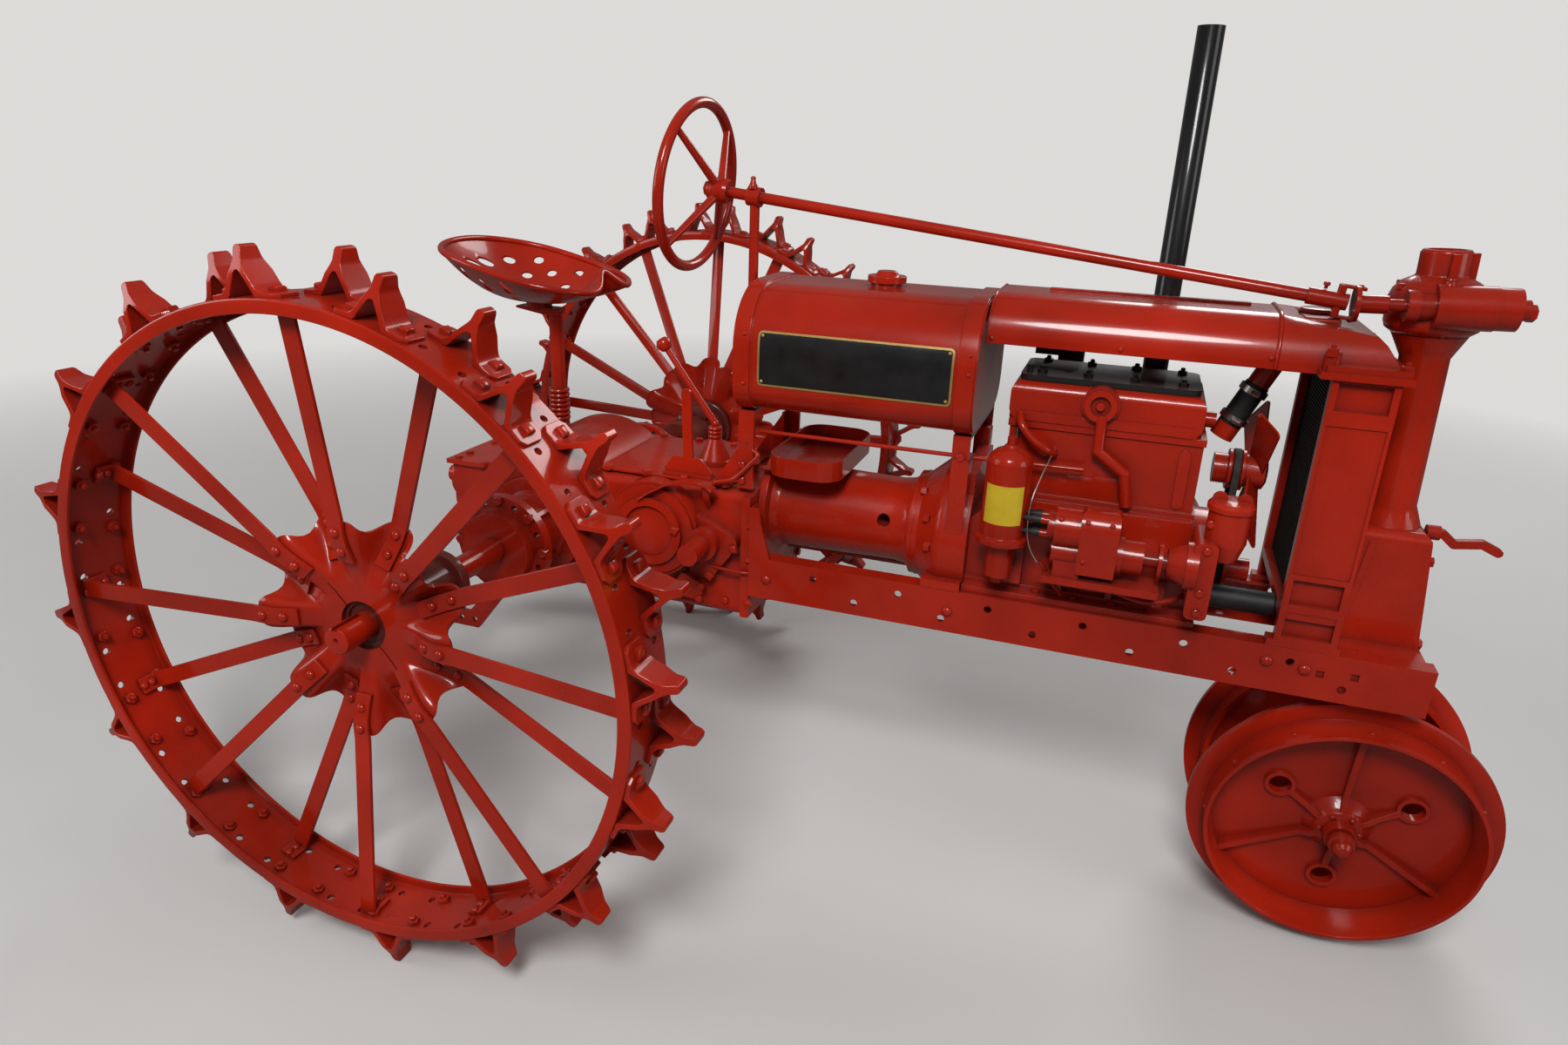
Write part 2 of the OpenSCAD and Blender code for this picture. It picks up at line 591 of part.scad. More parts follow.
module manifold() color(BLACK) at_axle() {
    for (x = [block_x0 + 40 : 104 : block_x1 - 40]) translate([x, 0, manifold_top - 40])
        across(block_y + 8 + fit, stack_y - 10, 28);
    translate([0, stack_y, manifold_top - 40]) along_x(block_x0 + 20, block_x1 - 24, 36);
    translate([stack_x, stack_y, manifold_top - 40]) cylinder(h = 40 - fit, r = 40);
    // Carburettor below and the air pipe over it
    span(block_x0 + 110, block_x0 + 180, stack_y - 30, stack_y + 40, manifold_top - 170, manifold_top - 40);
    translate([block_x0 + 145, stack_y + 6, manifold_top - 190]) cylinder(h = 60, r = 44);
    on_side(stack_y - 20, stack_y + 40) pad([[block_x0 + 96, manifold_top - 20],
        [block_x0 + 96, head_z1 + 26]], 30);
    span(block_x0 + 10, block_x0 + 100, stack_y - 22, stack_y + 42, head_z1 + 10, head_z1 + 52);
}
module exhaust_pipe() color(BLACK) at_axle() {
    translate([stack_x, stack_y, manifold_top]) cylinder(h = stack_l, r = stack_r);
    translate([stack_x, stack_y, manifold_top]) cylinder(h = 24, r = stack_r + 9);
}
fan_z = rail_top + 322;
fan_x = block_x1 + 100;
crank_r = 58;
pulley_r = 46;
// Loop of a belt round two pulleys, drawn in Y and Z
loop_steps = 12;
module loop(r_up, r_low) {
    lean = asin((r_low - r_up) / (fan_z - drive_z));
    polygon(concat([for (i = [0:loop_steps]) let (t = lean + i * (180 - 2 * lean) / loop_steps)
        [r_up * cos(t), fan_z + r_up * sin(t)]], [for (i = [0:loop_steps])
        let (t = 180 - lean + i * (180 + 2 * lean) / loop_steps)
        [r_low * cos(t), drive_z + r_low * sin(t)]]));
}
module fan() color(RED) at_axle() {
    translate([0, 0, fan_z]) {
        rotate([0, 90, 0]) rotate_extrude() polygon([[0, fan_x - 66], [34, fan_x - 66], [34, fan_x - 38],
            [pulley_r, fan_x - 36], [pulley_r, fan_x - 30], [pulley_r - 8, fan_x - 24],
            [pulley_r - 8, fan_x - 14], [pulley_r, fan_x - 8], [pulley_r, fan_x - 2], [38, fan_x],
            [38, fan_x + 40], [26, fan_x + 46], [0, fan_x + 46]]);
        for (i = [0:3]) rotate([40 + i * 90, 0, 0]) translate([fan_x + 20, 0, 34]) rotate([0, 0, 30])
            rotate([90, 0, 90]) translate([0, 0, -2]) linear_extrude(height = 4)
                pad([[-18, 0], [18, 0], [34, fan_r - 60], [-26, fan_r - 46]], 10);
    }
    translate([0, 0, drive_z]) rotate([0, 90, 0]) rotate_extrude() polygon([[0, timing_x1 + 14 + fit],
        [crank_r, timing_x1 + 14 + fit], [crank_r, fan_x - 30], [crank_r - 8, fan_x - 24],
        [crank_r - 8, fan_x - 14], [crank_r, fan_x - 8], [crank_r, fan_x], [26, fan_x], [26, fan_x + 50],
        [0, fan_x + 50]]);
    prism_x(fan_x - 26, fan_x - 12) difference() {
        loop(pulley_r + 1, crank_r + 1);
        loop(pulley_r - 9, crank_r - 9);
    }
}
hose_l = 100;
hose_lean = 24;
module on_hose() translate([block_x1 + 52, 0, head_z0 + 16]) rotate([0, hose_lean, 0]) children();
module hoses() color(BLACK) at_axle() {
    on_hose() {
        cylinder(h = hose_l, r = 26);
        for (z = [10, hose_l - 20]) translate([0, 0, z]) cylinder(h = 10, r = 29);
    }
    translate([0, -110, rail_top + 56]) along_x(timing_x1 + 14 + fit, rad_x0 - fit, 26);
}

// Radiator and front column
module radiator_core() color(DARK) at_axle()
    span(rad_x0 + 20, rad_x1 - 15, -rail_y + 24 + fit, rail_y - 24 - fit, rail_top + 88 + fit,
        rad_z1 - fit);
module radiator_frame() color(RED) at_axle() {
    both() difference() {
        union() {
            span(rad_x0, rad_x1, -rail_y, -rail_y + 24, rail_top + fit, rad_z1 + 1);
            span(rad_x0 - 14, rad_x1 + 8, -rail_y, -rail_y + 34, rail_top + fit, rail_top + 16);
        }
        for (z = [rad_z1 - 62, rail_top + 100, rail_top + 26])
            span(rad_x0 + 13, rad_x1 - 13, -rail_y - 1, -rail_y + 14, z, z + 56);
        span(rad_x0 + 7, rad_x1 - 7, -rail_y - 1, -rail_y + 3, rail_top + 168, rad_z1 - 92);
    }
    span(rad_x0, rad_x1, -rail_y + 2, rail_y - 2, rail_top + 66, rail_top + 88);
    // Cast top with its flange, and the neck that the hose sits on
    difference() {
        intersection() {
            translate([0, 0, rad_z1]) prism_x(block_x1 + 104, rad_x1 + 6)
                rounded(2 * hood_y + 14, rad_top_h + 2, 92, 2);
            side_plate(-260, 260, [[block_x1 + 104, rad_z1], [rad_x1 + 2, rad_z1],
                [rad_x1 - 4, rad_z1 + 28], [rad_x1 - 30, rad_z1 + 64], [rad_x1 - 46, rad_z1 + 78],
                [rad_x0 + 20, rad_z1 + 86], [rad_x0 - 60, rad_z1 + rad_top_h - 4],
                [block_x1 + 104, rad_z1 + rad_top_h]]);
        }
        translate([0, 0, rad_z1 - 4]) prism_x(block_x1 + 103, rad_x0 - 6)
            rounded(2 * hood_y - 8, rad_top_h - 2, 86, 2);
    }
    span(rad_x0 - 24, rad_x1 + 18, -rail_y - 8, rail_y + 8, rad_z1, rad_z1 + 14);
    span(rad_x0 - 14, rad_x1 + 12, -rail_y - 2, rail_y + 2, rad_z1 + 12, rad_z1 + 26);
    for (s = [-1, 1]) translate([rad_x0 - 4, s * (hood_y + 20), rad_z1 + 14]) cylinder(h = 34, r = 15);
    on_hose() translate([0, 0, hose_l + fit]) cylinder(h = 84, r = 24);
    translate([0, 0, head_z0 + 16 + (hose_l + 66) * cos(hose_lean)])
        along_x(block_x1 + 118, rad_x0 + 19, 22);
}
function column_front(z) = king_x(z) + 72 + 25 * (shoulder_z - z) / (shoulder_z - rail_low);
module on_king(z) translate([wheelbase, 0, front_h]) rotate([0, -rake, 0])
    translate([0, 0, (z - front_h) / cos(rake)]) children();
module front_column() color(RED) at_axle() difference() {
    union() {
        on_king(shoulder_z - 10) cylinder(h = (worm_z - shoulder_z) / cos(rake) - 62, r = column_r);
        on_king(worm_z - 110) cylinder(h = 48 - fit, r1 = column_r, r2 = 70);
        on_king(shoulder_z - 4) cylinder(h = 46, r1 = 62, r2 = column_r);
        intersection() {
            side_plate(-82, 82, [[king_x(rail_low) - 88, rail_low], [column_front(rail_low), rail_low],
                [column_front(shoulder_z), shoulder_z - 12], [column_front(shoulder_z) - 14, shoulder_z],
                [king_x(shoulder_z) - 56, shoulder_z], [rad_x1 + 2, rail_top + 130],
                [rad_x1 + 2, rail_low]]);
            translate([0, 0, rail_low - 1]) prism_x(rad_x1, rail_x1 + 80)
                rounded(164, shoulder_z - rail_low + 1, 22, 1);
        }
        span(rad_x1 + 8, rail_x1 - 8, -rail_y + rail_t + fit, rail_y - rail_t - fit,
            rail_low + rail_t + fit, rail_top - rail_t - fit);
        both() side_plate(70, 84, [[rad_x1 + 20, rail_top + 40], [rad_x1 + 32, rail_top + 40],
            [king_x(shoulder_z) - 30, shoulder_z - 24], [king_x(shoulder_z) - 44, shoulder_z - 24]]);
    }
    translate([wheelbase, 0, front_h]) rotate([0, -rake, 0])
        translate([0, 0, 300]) cylinder(h = worm_z - front_h - 440, r = king_r + fit);
}
module steering_gear() color(RED) at_axle() on_king(worm_z) difference() {
    union() {
        rotate_extrude() polygon([[0, -62], [70, -62], [84, -52], [88, -40], [88, 8], [82, 26],
            [68, 42], [49, 52], [46, 56], [46, 98], [42, 104], [0, 104]]);
        translate([0, -worm_y, 0]) {
            along_x(-22, 82, worm_r);
            along_x(81, 120, worm_r - 2);
            along_x(-50, -20, worm_r - 17);
            along_x(-70, -48, worm_r - 12);
            along_x(118, 138, worm_r - 23);
        }
        span(20, 58, -6, 6, 40, 98);
    }
    translate([0, -worm_y, 0]) along_x(-72, -30, worm_shaft_r + fit);
    translate([0, 0, 92]) cylinder(h = 13, r = 34);
}
module hand_crank() color(RED) at_axle() {
    z = shoulder_z - 14;
    x = column_front(z);
    line = [[x + 20, z], [x + 34, z], [x + 58, z - 20], [x + 110, z - 12], [x + 142, z - 26]];
    on_side(-9, 9) for (i = [0:len(line) - 2]) pad([line[i], line[i + 1]], 9);
    translate([0, 0, z]) along_x(x + 1.5, x + 28, 16);
}

// Hood, tank and what carries them
hood_x1 = block_x1 + 104 - fit;
module hood() color(RED) at_axle() {
    difference() {
        translate([0, 0, rad_z1]) prism_x(tank_x1 + 4, hood_x1) rounded(2 * hood_y, rad_top_h, 90, 2);
        translate([0, 0, rad_z1 - hood_t]) prism_x(tank_x1 + 3, hood_x1 + 1)
            rounded(2 * (hood_y - hood_t), rad_top_h, 86, 2);
    }
    translate([tank_x1 + 120, 0, rad_z1 + rad_top_h - 1]) linear_extrude(height = 8)
        pad([[0, 20], [hood_x1 - tank_x1 - 180, 20]], 7);
}
module fuel_tank() color(RED) at_axle() {
    translate([0, 0, tank_z0]) {
        prism_x(tank_x0, tank_x1) rounded(2 * tank_y, tank_h, 140, 70);
        for (x = mount_x) translate([0, 0, -5])
            prism_x(x, x + strap_w) rounded(2 * tank_y + 10, tank_h + 10, 145, 75);
    }
    translate([(tank_x0 + tank_x1) / 2 + 20, 0, tank_z1 - 4]) {
        cylinder(h = 14, r = 38);
        translate([0, 0, 13]) cylinder(h = 16, r = 46);
        translate([0, 0, 28]) cylinder(h = 12, r1 = 30, r2 = 22);
    }
}
mount_x = [tank_x0 + 3, tank_x1 - strap_w - 3];
mount_y = tank_y - 40;
leg_x = tank_x1 - 32;
module tank_mounts() color(RED) at_axle() {
    // Rear: two legs on the gearcase with a cross strap under the tank
    both() {
        span(mount_x[0], mount_x[0] + strap_w, mount_y - 10, mount_y, cover_top + fit, tank_z0 - 5 - fit);
        side_plate(mount_y - 40, mount_y - 34, [[mount_x[0] - 74, cover_top + fit],
            [mount_x[0] + 4, cover_top + fit], [mount_x[0] + 4, cover_top + 120]]);
        span(mount_x[0], mount_x[0] + 6, mount_y - 40, mount_y - 9, cover_top + fit, cover_top + 120);
    }
    span(mount_x[0], mount_x[0] + strap_w, -mount_y, mount_y, tank_z0 - 13, tank_z0 - 5 - fit);
    // Front: two cast arms on the bell housing
    both() {
        span(mount_x[1], mount_x[1] + strap_w, mount_y - 8, mount_y, tank_z0 - 60, tank_z0 - 5 - fit);
        difference() {
            on_side(mount_y - 42, mount_y + 4) pad([[leg_x + 2, drive_z + 60], [leg_x + 20, drive_z + 60],
                [leg_x + 20, tank_z0 - 70], [leg_x + 2, tank_z0 - 70]], 11);
            bell(fit);
        }
    }
    span(mount_x[1], mount_x[1] + strap_w, -mount_y, mount_y, tank_z0 - 13, tank_z0 - 5 - fit);
}
tray_z = drive_z + tube_r + 16;
tray_x = case_x1 + 84;
module tool_tray() color(RED) at_axle() {
    difference() {
        translate([0, 0, tray_z]) linear_extrude(height = 50)
            pad([[tray_x, -120], [tray_x + 70, -120], [tray_x + 70, 120], [tray_x, 120]], 58);
        translate([0, 0, tray_z + 4]) linear_extrude(height = 50)
            pad([[tray_x, -120], [tray_x + 70, -120], [tray_x + 70, 120], [tray_x, 120]], 54);
    }
    for (y = [-122, 122]) span(mount_x[0] + strap_w + fit, tray_x - 50, y - 12, y + 12, tray_z, tray_z + 4);
}
lever_lean = 37;
lever_l = 245;
module controls() color(RED) at_axle() {
    // Clutch lever with its quadrant, gear lever on its boot, throttle rod, pedal and bent handle
    on_side(-150, -142) {
        pad([[case_x1 - 190, cover_top + 20], [case_x1 - 196, cover_top + 214]], 13);
        pad([[case_x1 - 250, cover_top + 14], [case_x1 - 130, cover_top + 14],
            [case_x1 - 160, cover_top + 44], [case_x1 - 230, cover_top + 44]], 6);
    }
    span(case_x1 - 256, case_x1 - 124, -160, -130, cover_top + fit, cover_top + 8);
    translate([case_x1 - 180, 0, cover_top + fit]) {
        cylinder(h = 10, r = 52);
        cylinder(h = 64, r1 = 46, r2 = 18);
        for (i = [0:3]) translate([0, 0, 60 + i * 11]) rotate_extrude()
            translate([13, 0]) circle(r = 6, $fn = 8);
        bar([0, 0, 40], [0, 0, 104], 9);
        translate([0, 0, 104]) sphere(r = 10);
        translate([0, 0, 104]) rotate([0, -lever_lean, 0]) rotate_extrude() polygon([[0, 0], [9, 0],
            [8, lever_l - 16], [15, lever_l - 12], [20, lever_l], [20, lever_l + 8], [13, lever_l + 18],
            [0, lever_l + 20]]);
    }
    bar([case_x1 + 4, -base_y, tank_z0 - 62], [leg_x - 15, -base_y, tank_z0 - 60], 5);
    bar([leg_x + 37, -base_y, tank_z0 - 60], [boss_x - 16, -base_y, tank_z0 - 56], 5);
}
module steering_post() color(RED) at_axle() {
    difference() {
        union() {
            translate([hub_x + post_x, post_y, cover_top + fit]) {
                cylinder(h = hub_z - post_x * tan(rod_dip) - cover_top, r = 12);
                cylinder(h = 14, r = 30);
            }
            to_rod() along_x(post_t - 17, post_t + 17, 23);
        }
        to_rod() along_x(post_t - 60, post_t + 60, rod_r + fit);
    }
}
// Pressed seat pan: its height over the lowest place, and its outline round the middle
function rim_h(t) = 0.95 - 0.56 * cos(t) + 0.52 * pow(max(0, cos(t)), 36);
function pan_h(r, t) = seat_d * pow(r, 2.4) * rim_h(t);
function pan_r(t) = 1 - 0.04 * cos(4 * t) - 0.14 * pow(max(0, cos(t)), 36);
seat_rings = [0.02, 0.2, 0.4, 0.58, 0.74, 0.88, 1];
seat_n = 40;
module seat_pan() {
    m = len(seat_rings);
    function at(s, i, j) = (s * m + i) * seat_n + j % seat_n;
    pts = [for (s = [0, 1], r = seat_rings, j = [0:seat_n - 1]) let (t = j * 360 / seat_n)
        [r * pan_r(t) * seat_l / 2 * cos(t), r * pan_r(t) * seat_w / 2 * sin(t), pan_h(r, t) + s * 6]];
    polyhedron(points = pts, faces = concat(
        [for (i = [0:m - 2], j = [0:seat_n - 1], k = [0, 1]) k == 0
            ? [at(0, i, j), at(0, i + 1, j), at(0, i + 1, j + 1)]
            : [at(0, i, j), at(0, i + 1, j + 1), at(0, i, j + 1)]],
        [for (i = [0:m - 2], j = [0:seat_n - 1], k = [0, 1]) k == 0
            ? [at(1, i, j), at(1, i + 1, j + 1), at(1, i + 1, j)]
            : [at(1, i, j), at(1, i, j + 1), at(1, i + 1, j + 1)]],
        [for (j = [0:seat_n - 1], k = [0, 1]) k == 0
            ? [at(0, m - 1, j), at(1, m - 1, j + 1), at(0, m - 1, j + 1)]
            : [at(0, m - 1, j), at(1, m - 1, j), at(1, m - 1, j + 1)]],
        [[for (j = [0:seat_n - 1]) at(0, 0, j)]],
        [[for (j = [seat_n - 1:-1:0]) at(1, 0, j)]]));
}
module seat() color(RED) at_axle() translate([seat_x, 0, seat_z]) seat_pan();
module seat_support() color(RED) at_axle() {
    // Post with its coil spring, the arms under the pan and a brace to the cover
    difference() {
        union() {
            translate([seat_x + 50, 0, case_top + 20])
                cylinder(h = seat_z - 24 - case_top - 20, r = 19);
            for (i = [0:6]) translate([seat_x + 50, 0, case_top + 76 + i * 13]) rotate_extrude()
                translate([23, 0]) circle(r = 6, $fn = 8);
        }
        dome(fit);
    }
    side_plate(-22, 22, [[seat_x - 60, seat_z - 12 - fit], [seat_x + 66, seat_z - 12 - fit],
        [seat_x + 66, seat_z - 30], [seat_x + 20, seat_z - 30], [seat_x - 60, seat_z - 18]]);
    translate([seat_x, 0, seat_z - 13]) cylinder(h = 13 - fit, r = 34);
}

// Rear wheels, drawn on the outer face with Z pointing outwards
module rear_place(side) at_axle() mirror([0, side < 0 ? 0 : 1, 0])
    translate([0, -rear_face, axle_h]) rotate([90, 0, 0]) children();
function on_rim(t) = sqrt(rim_r * rim_r - t * t) - 1;
// Lug folded from plate: two feet on the band and a ridge with clipped corners
module lug() {
    toe = lug_bolt_gap / 2 + 24;
    heel = lug_bolt_gap / 2 - 16;
    right = [[toe, on_rim(toe)], [toe, on_rim(toe) + lug_t], [heel, on_rim(heel) + lug_t],
        [heel * 0.6, rim_r + lug_h * 0.30], [heel * 0.33, rim_r + lug_h * 0.62],
        [lug_tip / 2, rim_r + lug_h]];
    left = [for (i = [5:-1:0]) [-right[i].x, right[i].y]];
    arch = [[-heel + 8, on_rim(heel)], [-heel * 0.36, rim_r + lug_h * 0.26], [0, rim_r + lug_h * 0.52],
        [heel * 0.36, rim_r + lug_h * 0.26], [heel - 8, on_rim(heel)]];
    clip = [[-lug_w / 2, on_rim(toe) - 1], [lug_w / 2, on_rim(toe) - 1], [lug_w / 2, rim_r + lug_h * 0.45],
        [lug_w / 2 - 14, rim_r + lug_h + 1], [-lug_w / 2 + 14, rim_r + lug_h + 1],
        [-lug_w / 2, rim_r + lug_h * 0.45]];
    rotate(-90) intersection() {
        translate([0, 0, -lug_w / 2]) linear_extrude(height = lug_w) polygon(concat(right, left, arch));
        translate([-toe - 1, 0, 0]) rotate([90, 0, 90]) linear_extrude(height = 2 * toe + 2)
            polygon([for (p = clip) [p.y, p.x]]);
    }
}
module rear_rim() {
    rotate_extrude($fn = 96) polygon([[rim_r, 0], [rim_r, -rim_w], [rim_r - rim_flange, -rim_w],
        [rim_r - rim_flange, -rim_w + 8], [rim_r - band_t, -rim_w + 8], [rim_r - band_t, -8],
        [rim_r - rim_flange, -8], [rim_r - rim_flange, 0]]);
    for (row = [0, 1], i = [0:lugs_per_row - 1])
        rotate(-90 + (row == 0 ? lug_turn : -lug_turn) + i * lug_step)
            translate([0, 0, row_z[row]]) lug();
}
// Outer surface of the fluted disc: w is 1 on a ridge and -1 in a valley
function disc_face(r, w) = disc_z + disc_t / 2 + w * flute * (r - disc_r0) / (disc_r - disc_r0);
function spoke_line(w, z_band) = let (f = rim_r - band_t - 2 * fit, a = 150, b = disc_r + 6) concat(
    [[a, disc_face(a, w)], [b, disc_face(b, w)]],
    w > 0
        ? [[f - spoke_t, z_band], [f - spoke_t, z_band - foot_l], [f, z_band - foot_l],
            [f, z_band + spoke_t]]
        : [[f, z_band], [f, z_band + foot_l], [f - spoke_t, z_band + foot_l],
            [f - spoke_t, z_band + spoke_t]],
    [[b, disc_face(b, w) + spoke_t], [a, disc_face(a, w) + spoke_t]]);
module rear_spokes() for (i = [0:2 * flutes - 1]) {
    w = i % 2 == 0 ? 1 : -1;
    rotate(i * flute_step / 2) translate([0, 0, fit]) rotate([90, 0, 0])
        linear_extrude(height = spoke_w, center = true) polygon(spoke_line(w, row_z[i % 2]));
}
// Steps round one flute, in degrees of a full turn of the wave, each with its w
wave = [[-52, 1], [0, 1], [52, 1], [66, 0.78], [80, 0.34], [95, -0.26], [108, -0.8], [120, -1],
    [180, -1], [240, -1], [252, -0.8], [265, -0.26], [280, 0.34], [294, 0.78]];
rings = [disc_r0, 120, 160, 200, disc_r];
module rear_disc() {
    n = len(wave) * flutes;
    m = len(rings);
    function turn(j) = (floor(j / len(wave)) + wave[j % len(wave)][0] / 360) * flute_step;
    function edge(i, w) = i == m - 1 ? rings[i] - scallop * (1 - w * w) : rings[i];
    pts = [for (s = [1, 0], i = [0:m - 1], j = [0:n - 1])
        let (w = wave[j % len(wave)][1], r = edge(i, w))
        [r * cos(turn(j)), r * sin(turn(j)), disc_face(r, w) - (1 - s) * disc_t]];
    function at(s, i, j) = (s * m + i) * n + j % n;
    polyhedron(points = pts, faces = concat(
        [for (i = [0:m - 2], j = [0:n - 1], k = [0, 1]) k == 0
            ? [at(0, i, j), at(0, i + 1, j + 1), at(0, i + 1, j)]
            : [at(0, i, j), at(0, i, j + 1), at(0, i + 1, j + 1)]],
        [for (i = [0:m - 2], j = [0:n - 1], k = [0, 1]) k == 0
            ? [at(1, i, j), at(1, i + 1, j), at(1, i + 1, j + 1)]
            : [at(1, i, j), at(1, i + 1, j + 1), at(1, i, j + 1)]],
        [for (j = [0:n - 1], k = [0, 1]) k == 0
            ? [at(0, 0, j), at(1, 0, j + 1), at(0, 0, j + 1)]
            : [at(0, 0, j), at(1, 0, j), at(1, 0, j + 1)]],
        [for (j = [0:n - 1], k = [0, 1]) k == 0
            ? [at(0, m - 1, j), at(0, m - 1, j + 1), at(1, m - 1, j + 1)]
            : [at(0, m - 1, j), at(1, m - 1, j + 1), at(1, m - 1, j)]]));
}
module rear_hub() difference() {
    union() {
        rear_disc();
        translate([0, 0, disc_z - disc_t / 2]) cylinder(h = disc_t, r = disc_r0 + 4);
        // Ribbed clamp hub behind the disc
        translate([0, 0, disc_z - 34]) cylinder(h = 32, r = disc_r0 + 8);
        translate([0, 0, disc_z - 64]) cylinder(h = 31, r = disc_r0 - 12);
        translate([0, 0, disc_z - 84]) cylinder(h = 21, r = disc_r0 + 2);
        for (a = [0:60:300]) rotate(a) span(disc_r0 - 26, disc_r0 + 4, -9, 9, disc_z - 110, disc_z - 60);
        translate([0, 0, disc_z - hub_l]) cylinder(h = hub_l, r = hub_r);
        translate([0, 0, disc_z - hub_l]) cylinder(h = 24, r = hub_r + 14);
        translate([0, 0, -rear_face + housing_end - 200])
            cylinder(h = rear_face - housing_end + 200 - shaft_out, r = shaft_r);
    }
    translate([0, 0, -shaft_out - 6]) cylinder(h = 7, r1 = 1, r2 = 8);
    translate([0, shaft_r, -shaft_out - 40]) cube([14, 16, 84], center = true);
}
module rear_rim_right() color(RED) rear_place(-1) rear_rim();
module rear_rim_left() color(RED) rear_place(1) rear_rim();
module rear_spokes_right() color(RED) rear_place(-1) rear_spokes();
module rear_spokes_left() color(RED) rear_place(1) rear_spokes();
module rear_hub_right() color(RED) rear_place(-1) rear_hub();
module rear_hub_left() color(RED) rear_place(1) rear_hub();

// Front wheels, drawn on the middle of the rim with Z pointing outwards, and the fork between them
module front_place(side) at_axle() mirror([0, side < 0 ? 0 : 1, 0])
    translate([wheelbase, -front_y, front_h]) rotate([90 + camber, 0, 0]) children();
web_hole_at = 157;
module front_wheel() {
    h = front_w / 2;
    g = guide_t / 2;
    r = front_r;
    difference() {
        union() {
            rotate_extrude($fn = 96) polygon([[r, h], [r, g], [guide_r, g], [guide_r, -g], [r, -g], [r, -h],
                [r - 10, -h], [r - 16, -24], [r - 30, -12], [66, -8], [60, -24], [stub_r + fit, -24],
                [stub_r + fit, 64], [34, 64], [36, 36], [48, 32], [56, 20], [74, 4], [r - 22, 0],
                [r - 12, h - 8], [r - 8, h]]);
            // Ribs from the hub to the rim
            for (i = [0:5]) rotate(30 + i * 60) rotate([90, 0, 0]) linear_extrude(height = 14, center = true)
                polygon([[46, -4], [46, 30], [62, 30], [84, i % 2 == 0 ? 20 : 16],
                    [i % 2 == 0 ? 132 : r - 14, i % 2 == 0 ? 12 : 24],
                    [i % 2 == 0 ? 132 : r - 14, i % 2 == 0 ? -2 : -6]]);
            for (i = [0:2]) rotate(30 + i * 120) translate([web_hole_at, 0, -4])
                cylinder(h = 16, r = web_hole_r + 9);
        }
        for (i = [0:2]) rotate(30 + i * 120) translate([web_hole_at, 0, -30])
            cylinder(h = 60, r = web_hole_r);
    }
}
module front_wheel_right() color(RED) front_place(-1) front_wheel();
module front_wheel_left() color(RED) front_place(1) front_wheel();
module front_fork() color(RED) at_axle() {
    translate([wheelbase, 0, front_h]) rotate([0, -rake, 0]) {
        cylinder(h = worm_z - front_h - 330, r = king_r);
        translate([0, 0, rail_low - front_h - 60]) cylinder(h = 50, r = 60);
        translate([0, 0, rail_low - front_h - 90]) cylinder(h = 31, r1 = 44, r2 = 60);
        translate([0, 0, -40]) cylinder(h = rail_low - front_h - 20, r = 42);
    }
    both() translate([wheelbase, -front_y, front_h]) rotate([90 + camber, 0, 0]) {
        translate([0, 0, -front_y + 10]) cylinder(h = front_y - 40, r = 36);
        translate([0, 0, -front_y + 10]) cylinder(h = front_y + 66, r = stub_r);
        translate([0, 0, 70]) rotate_extrude() polygon([[0, 0], [28, 0], [28, 12], [22, 16], [21, 28],
            [13, 38], [0, 41]]);
    }
}

// Steering wheel, rod and worm shaft
module on_rod() at_axle() to_rod() children();
module steering_wheel() color(RED) on_rod() rotate([0, 90, 0]) {
    rotate_extrude($fn = 96) translate([wheel_r - wheel_rim_r, -wheel_dish]) circle(r = wheel_rim_r);
    difference() {
        rotate_extrude() polygon([[0, -24], [26, -24], [30, -14], [30, 14], [26, 24], [0, 24]]);
        translate([0, 0, -25]) cylinder(h = 50, r = rod_r + fit);
    }
    arm = norm([wheel_r - wheel_rim_r, wheel_dish]);
    for (i = [0:3]) rotate(45 + i * 90) rotate([0, 90 + atan2(wheel_dish, wheel_r - wheel_rim_r), 0])
        translate([0, 0, 22]) cylinder(h = arm - 22, r1 = 11, r2 = 8);
}
module steering_rod() color(RED) on_rod() {
    along_x(-32, rod_len - 20, rod_r);
    along_x(-40, -30, rod_r + 4);
    along_x(rod_len - 90, rod_len - 14, rod_r + 4);
}
module worm_shaft() color(RED) at_axle() translate(joint) rotate([0, -rake, 0]) {
    along_x(50, joint_back - 34, worm_shaft_r);
    along_x(-4, 5, 36);
    along_x(4, 58, 18);
}

gearcase();
gearcase_cover();
rear_housing();
drawbar();
axle_housing_right();
axle_housing_left();
torque_tube();
bell_housing();
side_rail_right();
side_rail_left();
engine_block();
cylinder_head();
head_cover();
oil_pan();
oil_filter();
magneto();
governor();
manifold();
exhaust_pipe();
fan();
hoses();
radiator_core();
radiator_frame();
front_column();
steering_gear();
hand_crank();
hood();
fuel_tank();
tank_mounts();
tool_tray();
controls();
steering_post();
seat();
seat_support();
rear_rim_right();
rear_spokes_right();
rear_hub_right();
rear_rim_left();
rear_spokes_left();
rear_hub_left();
front_fork();
front_wheel_right();
front_wheel_left();
steering_wheel();
steering_rod();
worm_shaft();
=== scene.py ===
"""Row-crop tractor on steel wheels: finishes and fine pieces round the fixed solids."""
import logging
import math
from collections.abc import Callable, Iterable, Iterator
from contextlib import contextmanager
from dataclasses import dataclass, field
from enum import Enum

import bpy
from mathutils import Matrix, Vector
from mathutils.bvhtree import BVHTree


